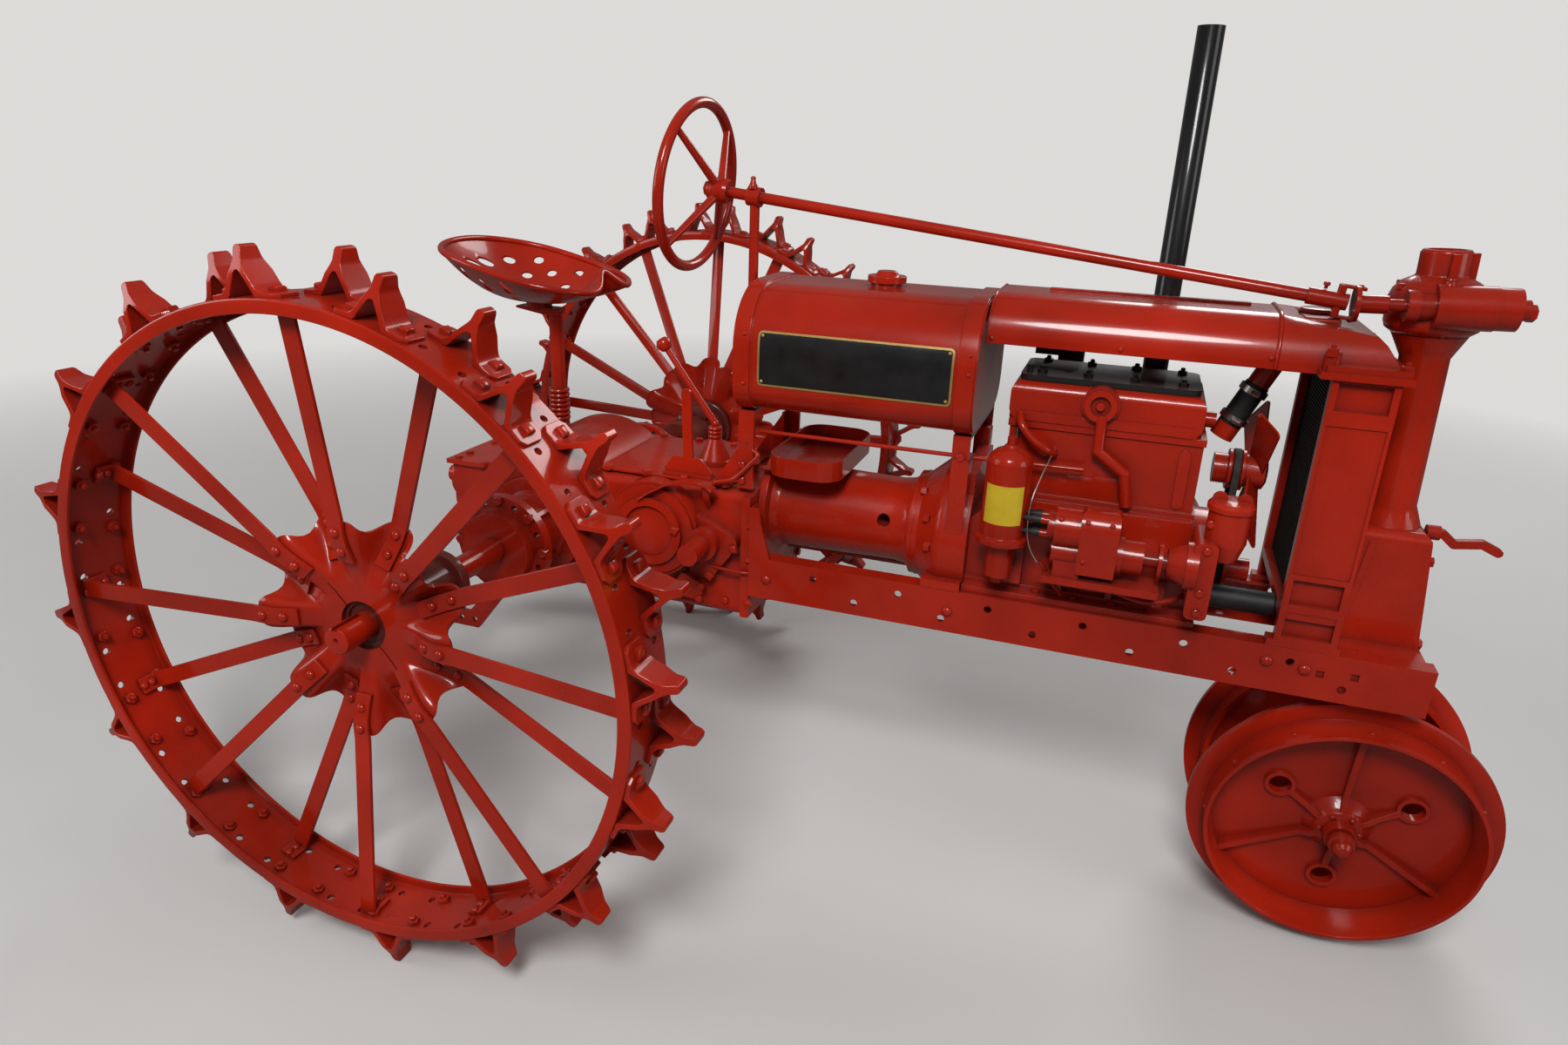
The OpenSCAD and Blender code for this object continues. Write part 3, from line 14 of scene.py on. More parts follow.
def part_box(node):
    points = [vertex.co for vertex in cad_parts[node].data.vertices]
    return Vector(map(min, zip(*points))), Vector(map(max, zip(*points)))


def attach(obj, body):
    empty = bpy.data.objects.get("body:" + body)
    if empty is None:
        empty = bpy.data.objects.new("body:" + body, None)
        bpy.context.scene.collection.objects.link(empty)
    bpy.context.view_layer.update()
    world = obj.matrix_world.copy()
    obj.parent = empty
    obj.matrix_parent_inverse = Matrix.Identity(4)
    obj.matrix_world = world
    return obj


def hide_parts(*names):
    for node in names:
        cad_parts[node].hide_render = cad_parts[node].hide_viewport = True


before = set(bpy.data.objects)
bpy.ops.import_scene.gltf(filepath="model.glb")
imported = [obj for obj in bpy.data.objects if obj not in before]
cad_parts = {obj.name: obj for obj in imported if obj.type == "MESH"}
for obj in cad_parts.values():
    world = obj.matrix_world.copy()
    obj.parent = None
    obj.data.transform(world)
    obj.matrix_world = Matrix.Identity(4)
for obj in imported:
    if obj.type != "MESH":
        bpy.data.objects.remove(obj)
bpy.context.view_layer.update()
LOG = logging.getLogger("tractor")
MM = 0.001
MERGE = 0.00001
FLIP = Matrix.Diagonal((1.0, -1.0, 1.0, 1.0))
Piece = bpy.types.Object
Point = tuple[float, float, float]
Outline = list[tuple[float, float]]


class Body(Enum):
    """Bodies that pieces ride on."""

    ROOT = "root"
    REAR_RIGHT = "rear_wheel_right"
    REAR_LEFT = "rear_wheel_left"
    PIVOT = "front_pivot"
    FRONT_RIGHT = "front_wheel_right_body"
    FRONT_LEFT = "front_wheel_left_body"
    WHEEL = "steering_wheel_body"
    WORM = "worm_shaft_body"


class Slot(Enum):
    """Finish slots of the record."""

    RED = "red_enamel"
    SHEET = "red_enamel_sheet"
    WHEEL = "red_enamel_wheel"
    BLACK = "black_enamel"
    CORE = "core_fins"
    RUBBER = "hose_rubber"
    FILTER = "filter_can"


def towards(way: Vector) -> Matrix:
    """Give the turn from Z to a direction."""
    return way.to_track_quat("Z", "Y").to_matrix().to_4x4()


class Side(Enum):
    """Directions that fasteners and round pieces point in."""

    RIGHT = (0.0, -1.0, 0.0)
    LEFT = (0.0, 1.0, 0.0)
    FRONT = (1.0, 0.0, 0.0)
    REAR = (-1.0, 0.0, 0.0)
    TOP = (0.0, 0.0, 1.0)

    def turn(self) -> Matrix:
        """Give the turn from Z to this direction."""
        return towards(Vector(self.value))


class Head(Enum):
    """Fastener heads: steps round one, and its profile of radius and height over its radius."""

    HEX = (6, ((1.0, -0.5), (1.0, 0.60), (0.84, 0.72), (0.0, 0.72)))
    STUD = (6, ((1.0, -0.5), (1.0, 0.70), (0.84, 0.80), (0.5, 0.80), (0.48, 1.3), (0.36, 1.4),
                (0.0, 1.4)))
    SQUARE = (4, ((1.0, -0.5), (1.0, 0.42), (0.82, 0.60), (0.45, 0.68), (0.0, 0.70)))
    DOME = (16, ((1.0, -0.5), (1.0, 0.08), (0.90, 0.34), (0.62, 0.58), (0.30, 0.70), (0.0, 0.73)))


def find_axle() -> tuple[float, float]:
    """Find the rear axle's place.

    Returns:
        Its x and z in metres.
    """
    low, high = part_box("rear_rim_right")
    return (low.x + high.x) / 2, (low.z + high.z) / 2


AXLE_X, AXLE_Z = find_axle()


def place(x: float, y: float, z: float) -> Vector:
    """Turn millimetres from the rear axle, the middle and the floor into the frame's metres.

    Args:
        x: Forward of the rear axle.
        y: To the driver's left of the middle.
        z: Over the floor.

    Returns:
        The point in metres.
    """
    return Vector((AXLE_X + x * MM, y * MM, z * MM))


def route(*points: Point) -> list[Vector]:
    """Turn a path in millimetres into the frame's metres, as place does."""
    return [place(*point) for point in points]


def shift(x: float, y: float, z: float) -> Matrix:
    """Give the shift by millimetres."""
    return Matrix.Translation((x * MM, y * MM, z * MM))


def around(count: int, at: Matrix, start: float = 0.0) -> list[Matrix]:
    """Give places evenly round the Z axis.

    Args:
        count: How many.
        at: The first place, before the turn.
        start: Turn of the first one in radians.

    Returns:
        The places.
    """
    return [Matrix.Rotation(start + math.tau * i / count, 4, "Z") @ at for i in range(count)]


# ---- finishes

def maths(operation: str, swapped: bool = False) -> Callable:
    """Make the method of one operator of Value, which adds a Math node.

    Args:
        operation: What the node does with its two numbers.
        swapped: Whether the value is the second of them.

    Returns:
        The method.
    """
    def method(value: "Value", other: object) -> "Value":
        """Add the Math node for a value and what it meets."""
        pair = (other, value) if swapped else (value, other)
        return value.nodes.node("ShaderNodeMath", dict(enumerate(pair)), operation=operation)
    return method


class Value:
    """A socket of a node tree, with Python's operators for its maths."""

    def __init__(self, nodes: "Nodes", socket: bpy.types.NodeSocket) -> None:
        """Keep the tree and the socket."""
        self.nodes = nodes
        self.socket = socket

    __add__, __radd__ = maths("ADD"), maths("ADD", True)
    __sub__, __rsub__ = maths("SUBTRACT"), maths("SUBTRACT", True)
    __mul__, __rmul__ = maths("MULTIPLY"), maths("MULTIPLY", True)
    __gt__ = maths("GREATER_THAN")

    def clear(self, low: float, high: float) -> "Value":
        """Stretch the span from low to high over zero to one, and clamp it.

        Args:
            low: Value that becomes zero.
            high: Value that becomes one.

        Returns:
            The stretched value.
        """
        return self.nodes.node("ShaderNodeMapRange", {0: self, 1: low, 2: high})


class Nodes:
    """A node tree and the two ways to add to it."""

    def __init__(self, owner: bpy.types.ID) -> None:
        """Start the tree of a material or a world."""
        owner.use_nodes = True
        self.tree = owner.node_tree

    def plug(self, socket: bpy.types.NodeSocket, value: object) -> None:
        """Link a value to a socket, or write a number or colour on it."""
        if isinstance(value, Value):
            self.tree.links.new(value.socket, socket)
        elif isinstance(value, tuple) and len(value) == 3 and socket.type == "RGBA":
            socket.default_value = (*value, 1.0)
        else:
            socket.default_value = value

    def node(self, kind: str, sockets: dict, output: object = 0, **settings: object) -> Value:
        """Add a node.

        Args:
            kind: Type of the node.
            sockets: Values or links by socket name or number.
            output: The output that is wanted.
            settings: Other settings of the node.

        Returns:
            The wanted output.
        """
        made = self.tree.nodes.new(kind)
        for key, value in settings.items():
            setattr(made, key, value)
        for key, value in sockets.items():
            self.plug(made.inputs[key], value)
        return Value(self, made.outputs[output])


class Shader(Nodes):
    """A material's node tree, with one shader and object coordinates."""

    def __init__(self, name: str) -> None:
        """Start a material of that name."""
        self.material = bpy.data.materials.new(name)
        super().__init__(self.material)
        self.surface = self.tree.nodes["Principled BSDF"]
        self.coords = self.node("ShaderNodeTexCoord", {}, output="Object")

    def noise(self, scale: float, detail: float = 2.0, rough: float = 0.5,
              stretch: Point = (1.0, 1.0, 1.0)) -> Value:
        """Add noise on object coordinates.

        Args:
            scale: Waves over a metre.
            detail: Octaves.
            rough: Strength of the finer octaves.
            stretch: Scale along each axis.

        Returns:
            The noise from zero to one.
        """
        at = self.node("ShaderNodeMapping", {"Vector": self.coords, "Scale": stretch})
        return self.node("ShaderNodeTexNoise",
                         {"Vector": at, "Scale": scale, "Detail": detail, "Roughness": rough})

    def mix(self, factor: object, one: object, two: object) -> Value:
        """Mix two colours by a factor."""
        return self.node("ShaderNodeMix", {0: factor, 6: one, 7: two}, output=2, data_type="RGBA")

    def bump(self, height: Value, depth: float, under: Value | None = None) -> Value:
        """Add a bump.

        Args:
            height: Height from zero to one.
            depth: Depth in metres.
            under: Bump below this one.

        Returns:
            The normal.
        """
        sockets = {"Strength": 1.0, "Distance": depth, "Height": height}
        if under:
            sockets["Normal"] = under
        return self.node("ShaderNodeBump", sockets)

    def facing_up(self) -> Value:
        """Give one where the surface faces up and zero below level."""
        normal = self.node("ShaderNodeNewGeometry", {}, output="Normal")
        return self.node("ShaderNodeSeparateXYZ", {0: normal}, output=2).clear(0.35, 1.0)

    def occlusion_shade(self, distance: float) -> Value:
        """Give one deep in corners and zero on open surface, from ambient occlusion: the mask of
        the painted corner shade.
        """
        found = self.node("ShaderNodeAmbientOcclusion", {"Distance": distance}, output="AO",
                          samples=4)
        return 1 - found.clear(0.25, 0.95)

    def fade(self, near: float, far: float, colour: Point) -> None:
        """Fade the surface into one glowing colour with distance, for the camera only.

        Args:
            near: Distance in metres from the middle where it starts.
            far: Distance where only the colour is left.
            colour: The colour.
        """
        length = self.node("ShaderNodeVectorMath", {0: self.coords}, output=1, operation="LENGTH")
        seen = self.node("ShaderNodeLightPath", {}, output="Is Camera Ray")
        glow = self.node("ShaderNodeEmission", {"Color": colour, "Strength": 1.0})
        base = Value(self, self.surface.outputs[0])
        share = length.clear(near, far) * seen
        mixed = self.node("ShaderNodeMixShader", {0: share, 1: base, 2: glow})
        self.plug(self.tree.nodes["Material Output"].inputs[0], mixed)

    def set(self, **sockets: object) -> None:
        """Plug values into the shader's sockets, named with underscores for spaces."""
        for key, value in sockets.items():
            self.plug(self.surface.inputs[key.replace("_", " ")], value)


@dataclass(frozen=True)
class Enamel:
    """Brushed or sprayed enamel over metal, with dust, chips, and grime together with painted shade
    in its corners.
    """

    name: str
    colour: Point
    gloss: float = 0.32
    grain: float = 0.00012
    peel: float = 0.00003
    dust: float = 0.35
    chips: float = 0.35
    # strength of the painted shade in corners (ambient occlusion), which also stands for grime
    # there
    grime_and_painted_shade: float = 0.8

    def make(self) -> bpy.types.Material:
        """Make the material.

        Returns:
            The material.
        """
        s = Shader(self.name)
        broad = s.noise(3.1, 3.0)
        fine = s.noise(46.0, 4.0, 0.6)
        dark = tuple(c * 0.62 for c in self.colour)
        light = tuple(min(1.0, c * 1.12 + 0.004) for c in self.colour)
        paint = s.mix(broad.clear(0.3, 0.7), dark, light)
        # painted shade: ambient occlusion darkens the paint in corners and recesses, where shade
        # falls, and stands for grime there too
        corner = (s.occlusion_shade(0.035) * (0.55 + fine * 0.7)).clear(0.0, 1.0) * self.grime_and_painted_shade
        paint = s.mix(corner, paint, tuple(c * 0.16 + 0.004 for c in self.colour))
        settled = s.facing_up() * s.noise(9.0, 5.0, 0.65).clear(0.32, 0.78) * self.dust
        paint = s.mix(settled, paint, (0.30, 0.155, 0.10))
        chip = (s.noise(58.0, 2.0).clear(0.0, 1.0) * s.noise(13.0, 2.0) > 0.47) * self.chips
        paint = s.mix(chip, paint, (0.045, 0.022, 0.016))
        skin = s.bump(fine, self.peel * 4)
        if self.grain:
            skin = s.bump(s.noise(330.0, 3.0, 0.6), self.grain, skin)
        s.set(Base_Color=paint, Normal=skin, Metallic=0.0,
              Roughness=self.gloss + 0.12 * fine + settled * 0.45 + corner * 0.25 + chip * 0.3,
              Coat_Weight=0.45 - settled * 0.4 - corner * 0.25, Coat_Roughness=0.07,
              Specular_IOR_Level=0.22)
        return s.material


@dataclass(frozen=True)
class Plain:
    """Rubber, cloth, bare metal or print, with its own mottling."""

    name: str
    colour: Point
    second: Point
    roughness: float
    metal: float = 0.0
    scale: float = 30.0
    depth: float = 0.0002
    stretch: Point = (1.0, 1.0, 1.0)

    def make(self) -> bpy.types.Material:
        """Make the material.

        Returns:
            The material.
        """
        s = Shader(self.name)
        patch = s.noise(self.scale, 4.0, 0.6, self.stretch)
        wear = s.noise(self.scale * 9.0, 3.0, 0.6, self.stretch)
        colour = s.mix(patch.clear(0.35, 0.68), self.colour, self.second)
        s.set(Base_Color=colour, Metallic=self.metal, Normal=s.bump(wear, self.depth),
              Roughness=self.roughness + 0.16 * patch - 0.08)
        return s.material


RED = (0.52, 0.017, 0.002)
FINISHES = [
    Enamel("cast_red", RED, gloss=0.22, grain=0.00022, dust=0.10),
    Enamel("sheet_red", RED, gloss=0.18, grain=0.0, peel=0.00002, dust=0.06, chips=0.10, grime_and_painted_shade=0.5),
    Enamel("wheel_red", RED, gloss=0.19, grain=0.00007, dust=0.06),
    Enamel("gloss_black", (0.012, 0.012, 0.013), gloss=0.20, grain=0.0, dust=0.1, chips=0.0),
    Enamel("head_black", (0.016, 0.015, 0.015), gloss=0.42, grain=0.0002, dust=0.5),
    Enamel("dull_red", (0.16, 0.012, 0.006), gloss=0.5, grain=0.0001, dust=0.3),
    Plain("hose_rubber", (0.010, 0.010, 0.011), (0.022, 0.021, 0.020), 0.55),
    Plain("core_dark", (0.012, 0.011, 0.010), (0.05, 0.03, 0.02), 0.6, 0.3, 30.0, 0.0001),
    Plain("belt_cloth", (0.020, 0.018, 0.016), (0.050, 0.043, 0.036), 0.8, scale=60.0),
    Plain("bright_steel", (0.55, 0.53, 0.50), (0.34, 0.31, 0.28), 0.32, 1.0, 40.0, 0.00005),
    Plain("plate_black", (0.008, 0.008, 0.009), (0.016, 0.015, 0.015), 0.30, 0.0, 18.0, 0.00002),
    Plain("border_gold", (0.60, 0.40, 0.13), (0.48, 0.30, 0.09), 0.36, 0.5, 25.0, 0.00002),
    Plain("label_yellow", (0.78, 0.56, 0.03), (0.66, 0.45, 0.02), 0.42, scale=20.0, depth=0.00002),
]


class Finishes:
    """All finishes of the tractor, made once."""

    made: dict[str, bpy.types.Material] = {}

    @classmethod
    def get(cls, name: str) -> bpy.types.Material:
        """Give a finish by its name, and make it the first time."""
        if name not in cls.made:
            cls.made[name] = next(f for f in FINISHES if f.name == name).make()
        return cls.made[name]


# ---- the bench: ways to make a piece

class Bench:
    """Modelling steps that every sub-assembly uses."""

    @staticmethod
    def clear() -> None:
        """Leave edit mode and deselect everything."""
        if bpy.context.object and bpy.context.object.mode != "OBJECT":
            bpy.ops.object.mode_set(mode="OBJECT")
        bpy.ops.object.select_all(action="DESELECT")

    @staticmethod
    def pick(piece: Piece, *others: Piece) -> Piece:
        """Select a piece as the active one, with others beside it."""
        Bench.clear()
        for other in others:
            other.select_set(True)
        piece.select_set(True)
        bpy.context.view_layer.objects.active = piece
        return piece

    @staticmethod
    @contextmanager
    def editing(piece: Piece) -> Iterator[None]:
        """Enter edit mode with all of a piece selected, and leave it afterwards."""
        Bench.pick(piece)
        bpy.ops.object.mode_set(mode="EDIT")
        bpy.ops.mesh.select_all(action="SELECT")
        yield
        bpy.ops.object.mode_set(mode="OBJECT")

    @staticmethod
    def stand(name: str, data: bpy.types.ID) -> Piece:
        """Put a mesh or a curve on the bench as the active piece."""
        Bench.clear()
        piece = bpy.data.objects.new(name, data)
        bpy.context.scene.collection.objects.link(piece)
        return Bench.pick(piece)

    @staticmethod
    def raw(name: str, points: list, faces: list, edges: list | None = None) -> Piece:
        """Put points, edges and faces on the bench as one mesh."""
        mesh = bpy.data.meshes.new(name)
        mesh.from_pydata([tuple(p) for p in points], edges or [], faces)
        return Bench.stand(name, mesh)

    @staticmethod
    def heal(piece: Piece, flip: bool = True) -> Piece:
        """Merge doubles, and turn the faces outwards where that is wanted."""
        with Bench.editing(piece):
            bpy.ops.mesh.remove_doubles(threshold=MERGE)
            if flip:
                bpy.ops.mesh.normals_make_consistent(inside=False)
        return piece

    @staticmethod
    def modify(piece: Piece, kind: str, **settings: object) -> Piece:
        """Add a modifier with its settings, and apply it."""
        Bench.pick(piece)
        made = piece.modifiers.new(kind.lower(), kind)
        for key, value in settings.items():
            setattr(made, key, value)
        bpy.ops.object.modifier_apply(modifier=made.name)
        return piece

    @staticmethod
    def soften(piece: Piece, width: float = 0.0, angle: float = 38.0) -> Piece:
        """Round the sharp edges and shade the rest smooth.

        Args:
            piece: The piece.
            width: Width of the rounding in millimetres.
            angle: Edges sharper than this in degrees are rounded.

        Returns:
            The piece.
        """
        if width:
            Bench.modify(piece, "BEVEL", width=width * MM, segments=2, limit_method="ANGLE",
                         angle_limit=math.radians(angle), use_clamp_overlap=True)
        Bench.pick(piece)
        bpy.ops.object.shade_smooth_by_angle(angle=math.radians(40))
        return Bench.modify(piece, "WEIGHTED_NORMAL", keep_sharp=True)

    @staticmethod
    def turned(name: str, profile: Outline, spot: Vector | Point = (0.0, 0.0, 0.0),
               turn: Point = (0.0, 0.0, 0.0), steps: int = 40) -> Piece:
        """Spin a profile of radius and height about its own Z axis, and put it in place.

        Args:
            name: Name of the piece.
            profile: Radius and height in millimetres, from the bottom middle up and round.
            spot: Place of its origin in metres.
            turn: Turn about X, Y and Z.
            steps: Steps round it.

        Returns:
            The piece.
        """
        points = [(r * MM, 0.0, h * MM) for r, h in profile]
        piece = Bench.raw(name, points, [], [(i, i + 1) for i in range(len(points) - 1)])
        with Bench.editing(piece):
            bpy.ops.mesh.spin(steps=steps, angle=math.tau, center=(0, 0, 0), axis=(0, 0, 1))
        Bench.heal(piece)
        about_x, about_y, about_z = (Matrix.Rotation(a, 4, axis) for a, axis in zip(turn, "XYZ"))
        piece.matrix_world = Matrix.Translation(spot) @ (about_z @ about_y @ about_x)
        bpy.ops.object.transform_apply(location=True, rotation=True, scale=True)
        return piece

    @staticmethod
    def plate(name: str, outline: list[Vector], thick: Vector, soft: float = 0.0) -> Piece:
        """Extrude one outline into a plate.

        Args:
            name: Name of the piece.
            outline: Corners in metres.
            thick: Way and distance of the extrusion in metres.
            soft: Rounding of its edges in millimetres.

        Returns:
            The piece.
        """
        piece = Bench.raw(name, outline, [list(range(len(outline)))])
        with Bench.editing(piece):
            bpy.ops.mesh.extrude_region_move(TRANSFORM_OT_translate={"value": tuple(thick)})
        return Bench.soften(Bench.heal(piece), soft)

    @staticmethod
    def tube(name: str, path: list[Vector], radius: float, smooth: bool = True) -> Piece:
        """Bend a round bar or pipe along a path.

        Args:
            name: Name of the piece.
            path: Points in metres.
            radius: Radius in millimetres.
            smooth: Whether the path is a smooth curve.

        Returns:
            The piece, as a mesh.
        """
        curve = bpy.data.curves.new(name, "CURVE")
        curve.dimensions = "3D"
        curve.bevel_depth = radius * MM
        curve.bevel_resolution = 3
        curve.use_fill_caps = True
        line = curve.splines.new("NURBS" if smooth else "POLY")
        line.points.add(len(path) - 1)
        for point, where in zip(line.points, path):
            point.co = (*where, 1.0)
        if smooth:
            line.order_u = 3
            line.use_endpoint_u = True
            line.resolution_u = 6
        piece = Bench.stand(name, curve)
        bpy.ops.object.convert(target="MESH")
        return Bench.soften(Bench.heal(piece))

    @staticmethod
    def join(name: str, pieces: list[Piece]) -> Piece:
        """Join pieces into one with a new name."""
        Bench.pick(pieces[0], *pieces[1:])
        if len(pieces) > 1:
            bpy.ops.object.join()
        pieces[0].name = pieces[0].data.name = name
        return pieces[0]

    @staticmethod
    def copies(name: str, model: Piece, places: list[Matrix]) -> Piece:
        """Copy a model to many places as one piece, and remove the model.

        Args:
            name: Name of the piece.
            model: The model, at the origin.
            places: A matrix for each copy.

        Returns:
            The piece.
        """
        made = []
        for matrix in places:
            copy = bpy.data.objects.new(name, model.data.copy())
            bpy.context.scene.collection.objects.link(copy)
            copy.data.transform(matrix)
            if matrix.determinant() < 0:
                copy.data.flip_normals()
            made.append(copy)
        bpy.data.objects.remove(model)
        return Bench.join(name, made)

    @staticmethod
    def head(head: Head) -> Piece:
        """Turn one fastener head of radius one millimetre at the origin."""
        steps, profile = head.value
        return Bench.soften(Bench.turned(head.name.lower(), list(profile), steps=steps))

    @staticmethod
    def thicken(piece: Piece, thick: float, outwards: Vector) -> Piece:
        """Turn a sheet's faces outwards, going by the first one, and thicken it inwards.

        Args:
            piece: The sheet.
            thick: Its thickness in millimetres.
            outwards: The way that the first face has to look.

        Returns:
            The piece.
        """
        if piece.data.polygons[0].normal.dot(outwards) < 0:
            piece.data.flip_normals()
        return Bench.modify(piece, "SOLIDIFY", thickness=thick * MM, offset=-1.0)

    @staticmethod
    def cut(piece: Piece, cutter: Piece) -> Piece:
        """Cut one closed piece out of another, and remove the cutter."""
        Bench.modify(piece, "BOOLEAN", operation="DIFFERENCE", solver="EXACT", object=cutter)
        bpy.data.objects.remove(cutter)
        return piece

    @staticmethod
    def block(name: str, low: Point, high: Point) -> Piece:
        """Make a plain block between two corners in millimetres, as a cutter or a blank."""
        corners = [Vector((x * MM, y * MM, low[2] * MM)) for x, y in (
            (low[0], low[1]), (high[0], low[1]), (high[0], high[1]), (low[0], high[1]))]
        return Bench.plate(name, corners, Vector((0.0, 0.0, (high[2] - low[2]) * MM)))

    @staticmethod
    def grid(name: str, rows: list[list[Vector]], closed: bool, middle: bool = False) -> Piece:
        """Lay a sheet through rows of points.

        Args:
            name: Name of the piece.
            rows: Rows of as many points each, in metres.
            closed: Whether each row's end meets its start.
            middle: Whether a face closes the first row.

        Returns:
            The sheet.
        """
        n = len(rows[0])
        faces = [(i * n + j, i * n + (j + 1) % n, (i + 1) * n + (j + 1) % n, (i + 1) * n + j)
                 for i in range(len(rows) - 1) for j in range(n if closed else n - 1)]
        if middle:
            faces.append(tuple(range(n))[::-1])
        return Bench.raw(name, [p for row in rows for p in row], faces)

    @staticmethod
    def solid_copy(node: str, name: str) -> Piece:
        """Copy a solid's mesh, merged and with its flat faces whole.

        Args:
            node: The solid's name.
            name: Name of the copy.

        Returns:
            The copy.
        """
        piece = Bench.stand(name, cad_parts[node].data.copy())
        piece.data.materials.clear()
        with Bench.editing(piece):
            bpy.ops.mesh.remove_doubles(threshold=2 * MERGE)
            bpy.ops.mesh.dissolve_limited(angle_limit=math.radians(0.6))
        return piece


def dress(piece: Piece, finish: str, body: Body = Body.ROOT,
          stands_for: str = "") -> Piece:
    """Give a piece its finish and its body.

    Args:
        piece: The piece.
        finish: Name of its finish.
        body: The body that it rides on.
        stands_for: The solid that it replaces.

    Returns:
        The piece.
    """
    piece.data.materials.clear()
    piece.data.materials.append(Finishes.get(finish))
    for face in piece.data.polygons:
        face.material_index = 0
    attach(piece, body.value)
    if stands_for:
        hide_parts(stands_for)
    LOG.info("%s: %d faces, %s", piece.name, len(piece.data.polygons), finish)
    return piece


# ---- sub-assemblies

@dataclass(frozen=True)
class Form:
    """How the copy that stands for a solid is rounded and finished."""

    width: float
    finish: str = "cast_red"
    slot: Slot = Slot.RED
    body: Body = Body.ROOT
    name: str = ""


FORMS = {
    "gearcase": Form(4.0),
    "gearcase_cover": Form(2.5, slot=Slot.SHEET),
    "rear_housing": Form(4.0),
    "drawbar": Form(2.0),
    "axle_housing_right": Form(3.0),
    "axle_housing_left": Form(3.0),
    "torque_tube": Form(3.0),
    "bell_housing": Form(3.0),
    "side_rail_right": Form(1.5, "wheel_red"),
    "side_rail_left": Form(1.5, "wheel_red"),
    "engine_block": Form(3.0),
    "cylinder_head": Form(4.0),
    "head_cover": Form(2.0, "head_black", Slot.BLACK),
    "oil_pan": Form(3.0, "sheet_red"),
    "oil_filter": Form(2.0, "sheet_red", Slot.FILTER),
    "magneto": Form(3.0),
    "governor": Form(3.0),
    "manifold": Form(3.0, "head_black", Slot.BLACK),
    "exhaust_pipe": Form(0.0, "gloss_black", Slot.BLACK),
    "fan": Form(1.0),
    "hoses": Form(1.5, "hose_rubber", Slot.RUBBER),
    "radiator_frame": Form(3.0),
    "front_column": Form(4.0),
    "steering_gear": Form(3.0),
    "hand_crank": Form(2.0),
    "hood": Form(1.0, "sheet_red", Slot.SHEET),
    "fuel_tank": Form(2.0, "sheet_red", Slot.SHEET),
    "tank_mounts": Form(1.5),
    "tool_tray": Form(1.5, "sheet_red"),
    "controls": Form(1.5),
    "steering_post": Form(2.0),
    "seat_support": Form(2.0),
    "front_fork": Form(2.0, body=Body.PIVOT),
    "steering_wheel": Form(1.5, "wheel_red", body=Body.WHEEL),
    "steering_rod": Form(1.0, "wheel_red", body=Body.WHEEL),
    "worm_shaft": Form(1.0, "wheel_red", body=Body.WORM),
    "front_wheel_right": Form(1.5, "wheel_red", Slot.WHEEL, Body.FRONT_RIGHT, "front_right_cast"),
    "front_wheel_left": Form(1.5, "wheel_red", Slot.WHEEL, Body.FRONT_LEFT, "front_left_cast"),
}


class Castings:
    """Solids whose shape is right: copies with rounded edges stand for them."""

    hole_z: dict[float, float] = {1903.0: 722.0, 1969.0: 727.0}
    hole_half: float = 8.0
    web: tuple[float, float] = (198.0, 212.0)

    def build(self) -> None:
        """Make the copies."""
        for node, form in FORMS.items():
            piece = Bench.solid_copy(node, form.name or node + "_form")
            if node.startswith("side_rail"):
                self.holes(piece, -1 if node.endswith("right") else 1)
            Bench.soften(piece, form.width)
            dress(piece, form.finish, form.body, node)

    def holes(self, rail: Piece, side: int) -> None:
        """Cut the two square holes into the front end of a rail."""
        half = self.hole_half
        for x, z in self.hole_z.items():
            x += AXLE_X / MM
            low, high = sorted(side * y for y in self.web)
            hole = Bench.block("hole", (x - half, low, z - half), (x + half, high, z + half))
            Bench.cut(rail, hole)


class Ground:
    """Finds where a straight line first meets a solid, so what is fastened there sits on it."""

    trees: dict[str, BVHTree] = {}

    @classmethod
    def seat(cls, node: str, side: Side, u: float, v: float) -> Vector | None:
        """Find the seat of a fastener.

        Args:
            node: The solid.
            side: The way that the fastener points.
            u: First of its two places across that way, in millimetres.
            v: Second of them.

        Returns:
            The seat in metres, or None where nothing is met.
        """
        if node not in cls.trees:
            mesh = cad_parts[node].data
            cls.trees[node] = BVHTree.FromPolygons([v.co for v in mesh.vertices],
                                                   [tuple(p.vertices) for p in mesh.polygons])
        out = Vector(side.value)
        spot = place(*((0.0, u, v) if out.x else (u, 0.0, v) if out.y else (u, v, 0.0)))
        return cls.trees[node].ray_cast(spot + out * 4.0, -out)[0]


def on_circle(u: float, v: float, along: float, up: float, turns: Iterable[float]) -> Outline:
    """Give places on a circle or an ellipse.

    Args:
        u: First place of its middle.
        v: Second place of its middle.
        along: Radius along the first way.
        up: Radius along the second.
        turns: Turn of each place in degrees.

    Returns:
        The places.
    """
    angles = [math.radians(turn) for turn in turns]
    return [(u + along * math.cos(a), v + up * math.sin(a)) for a in angles]


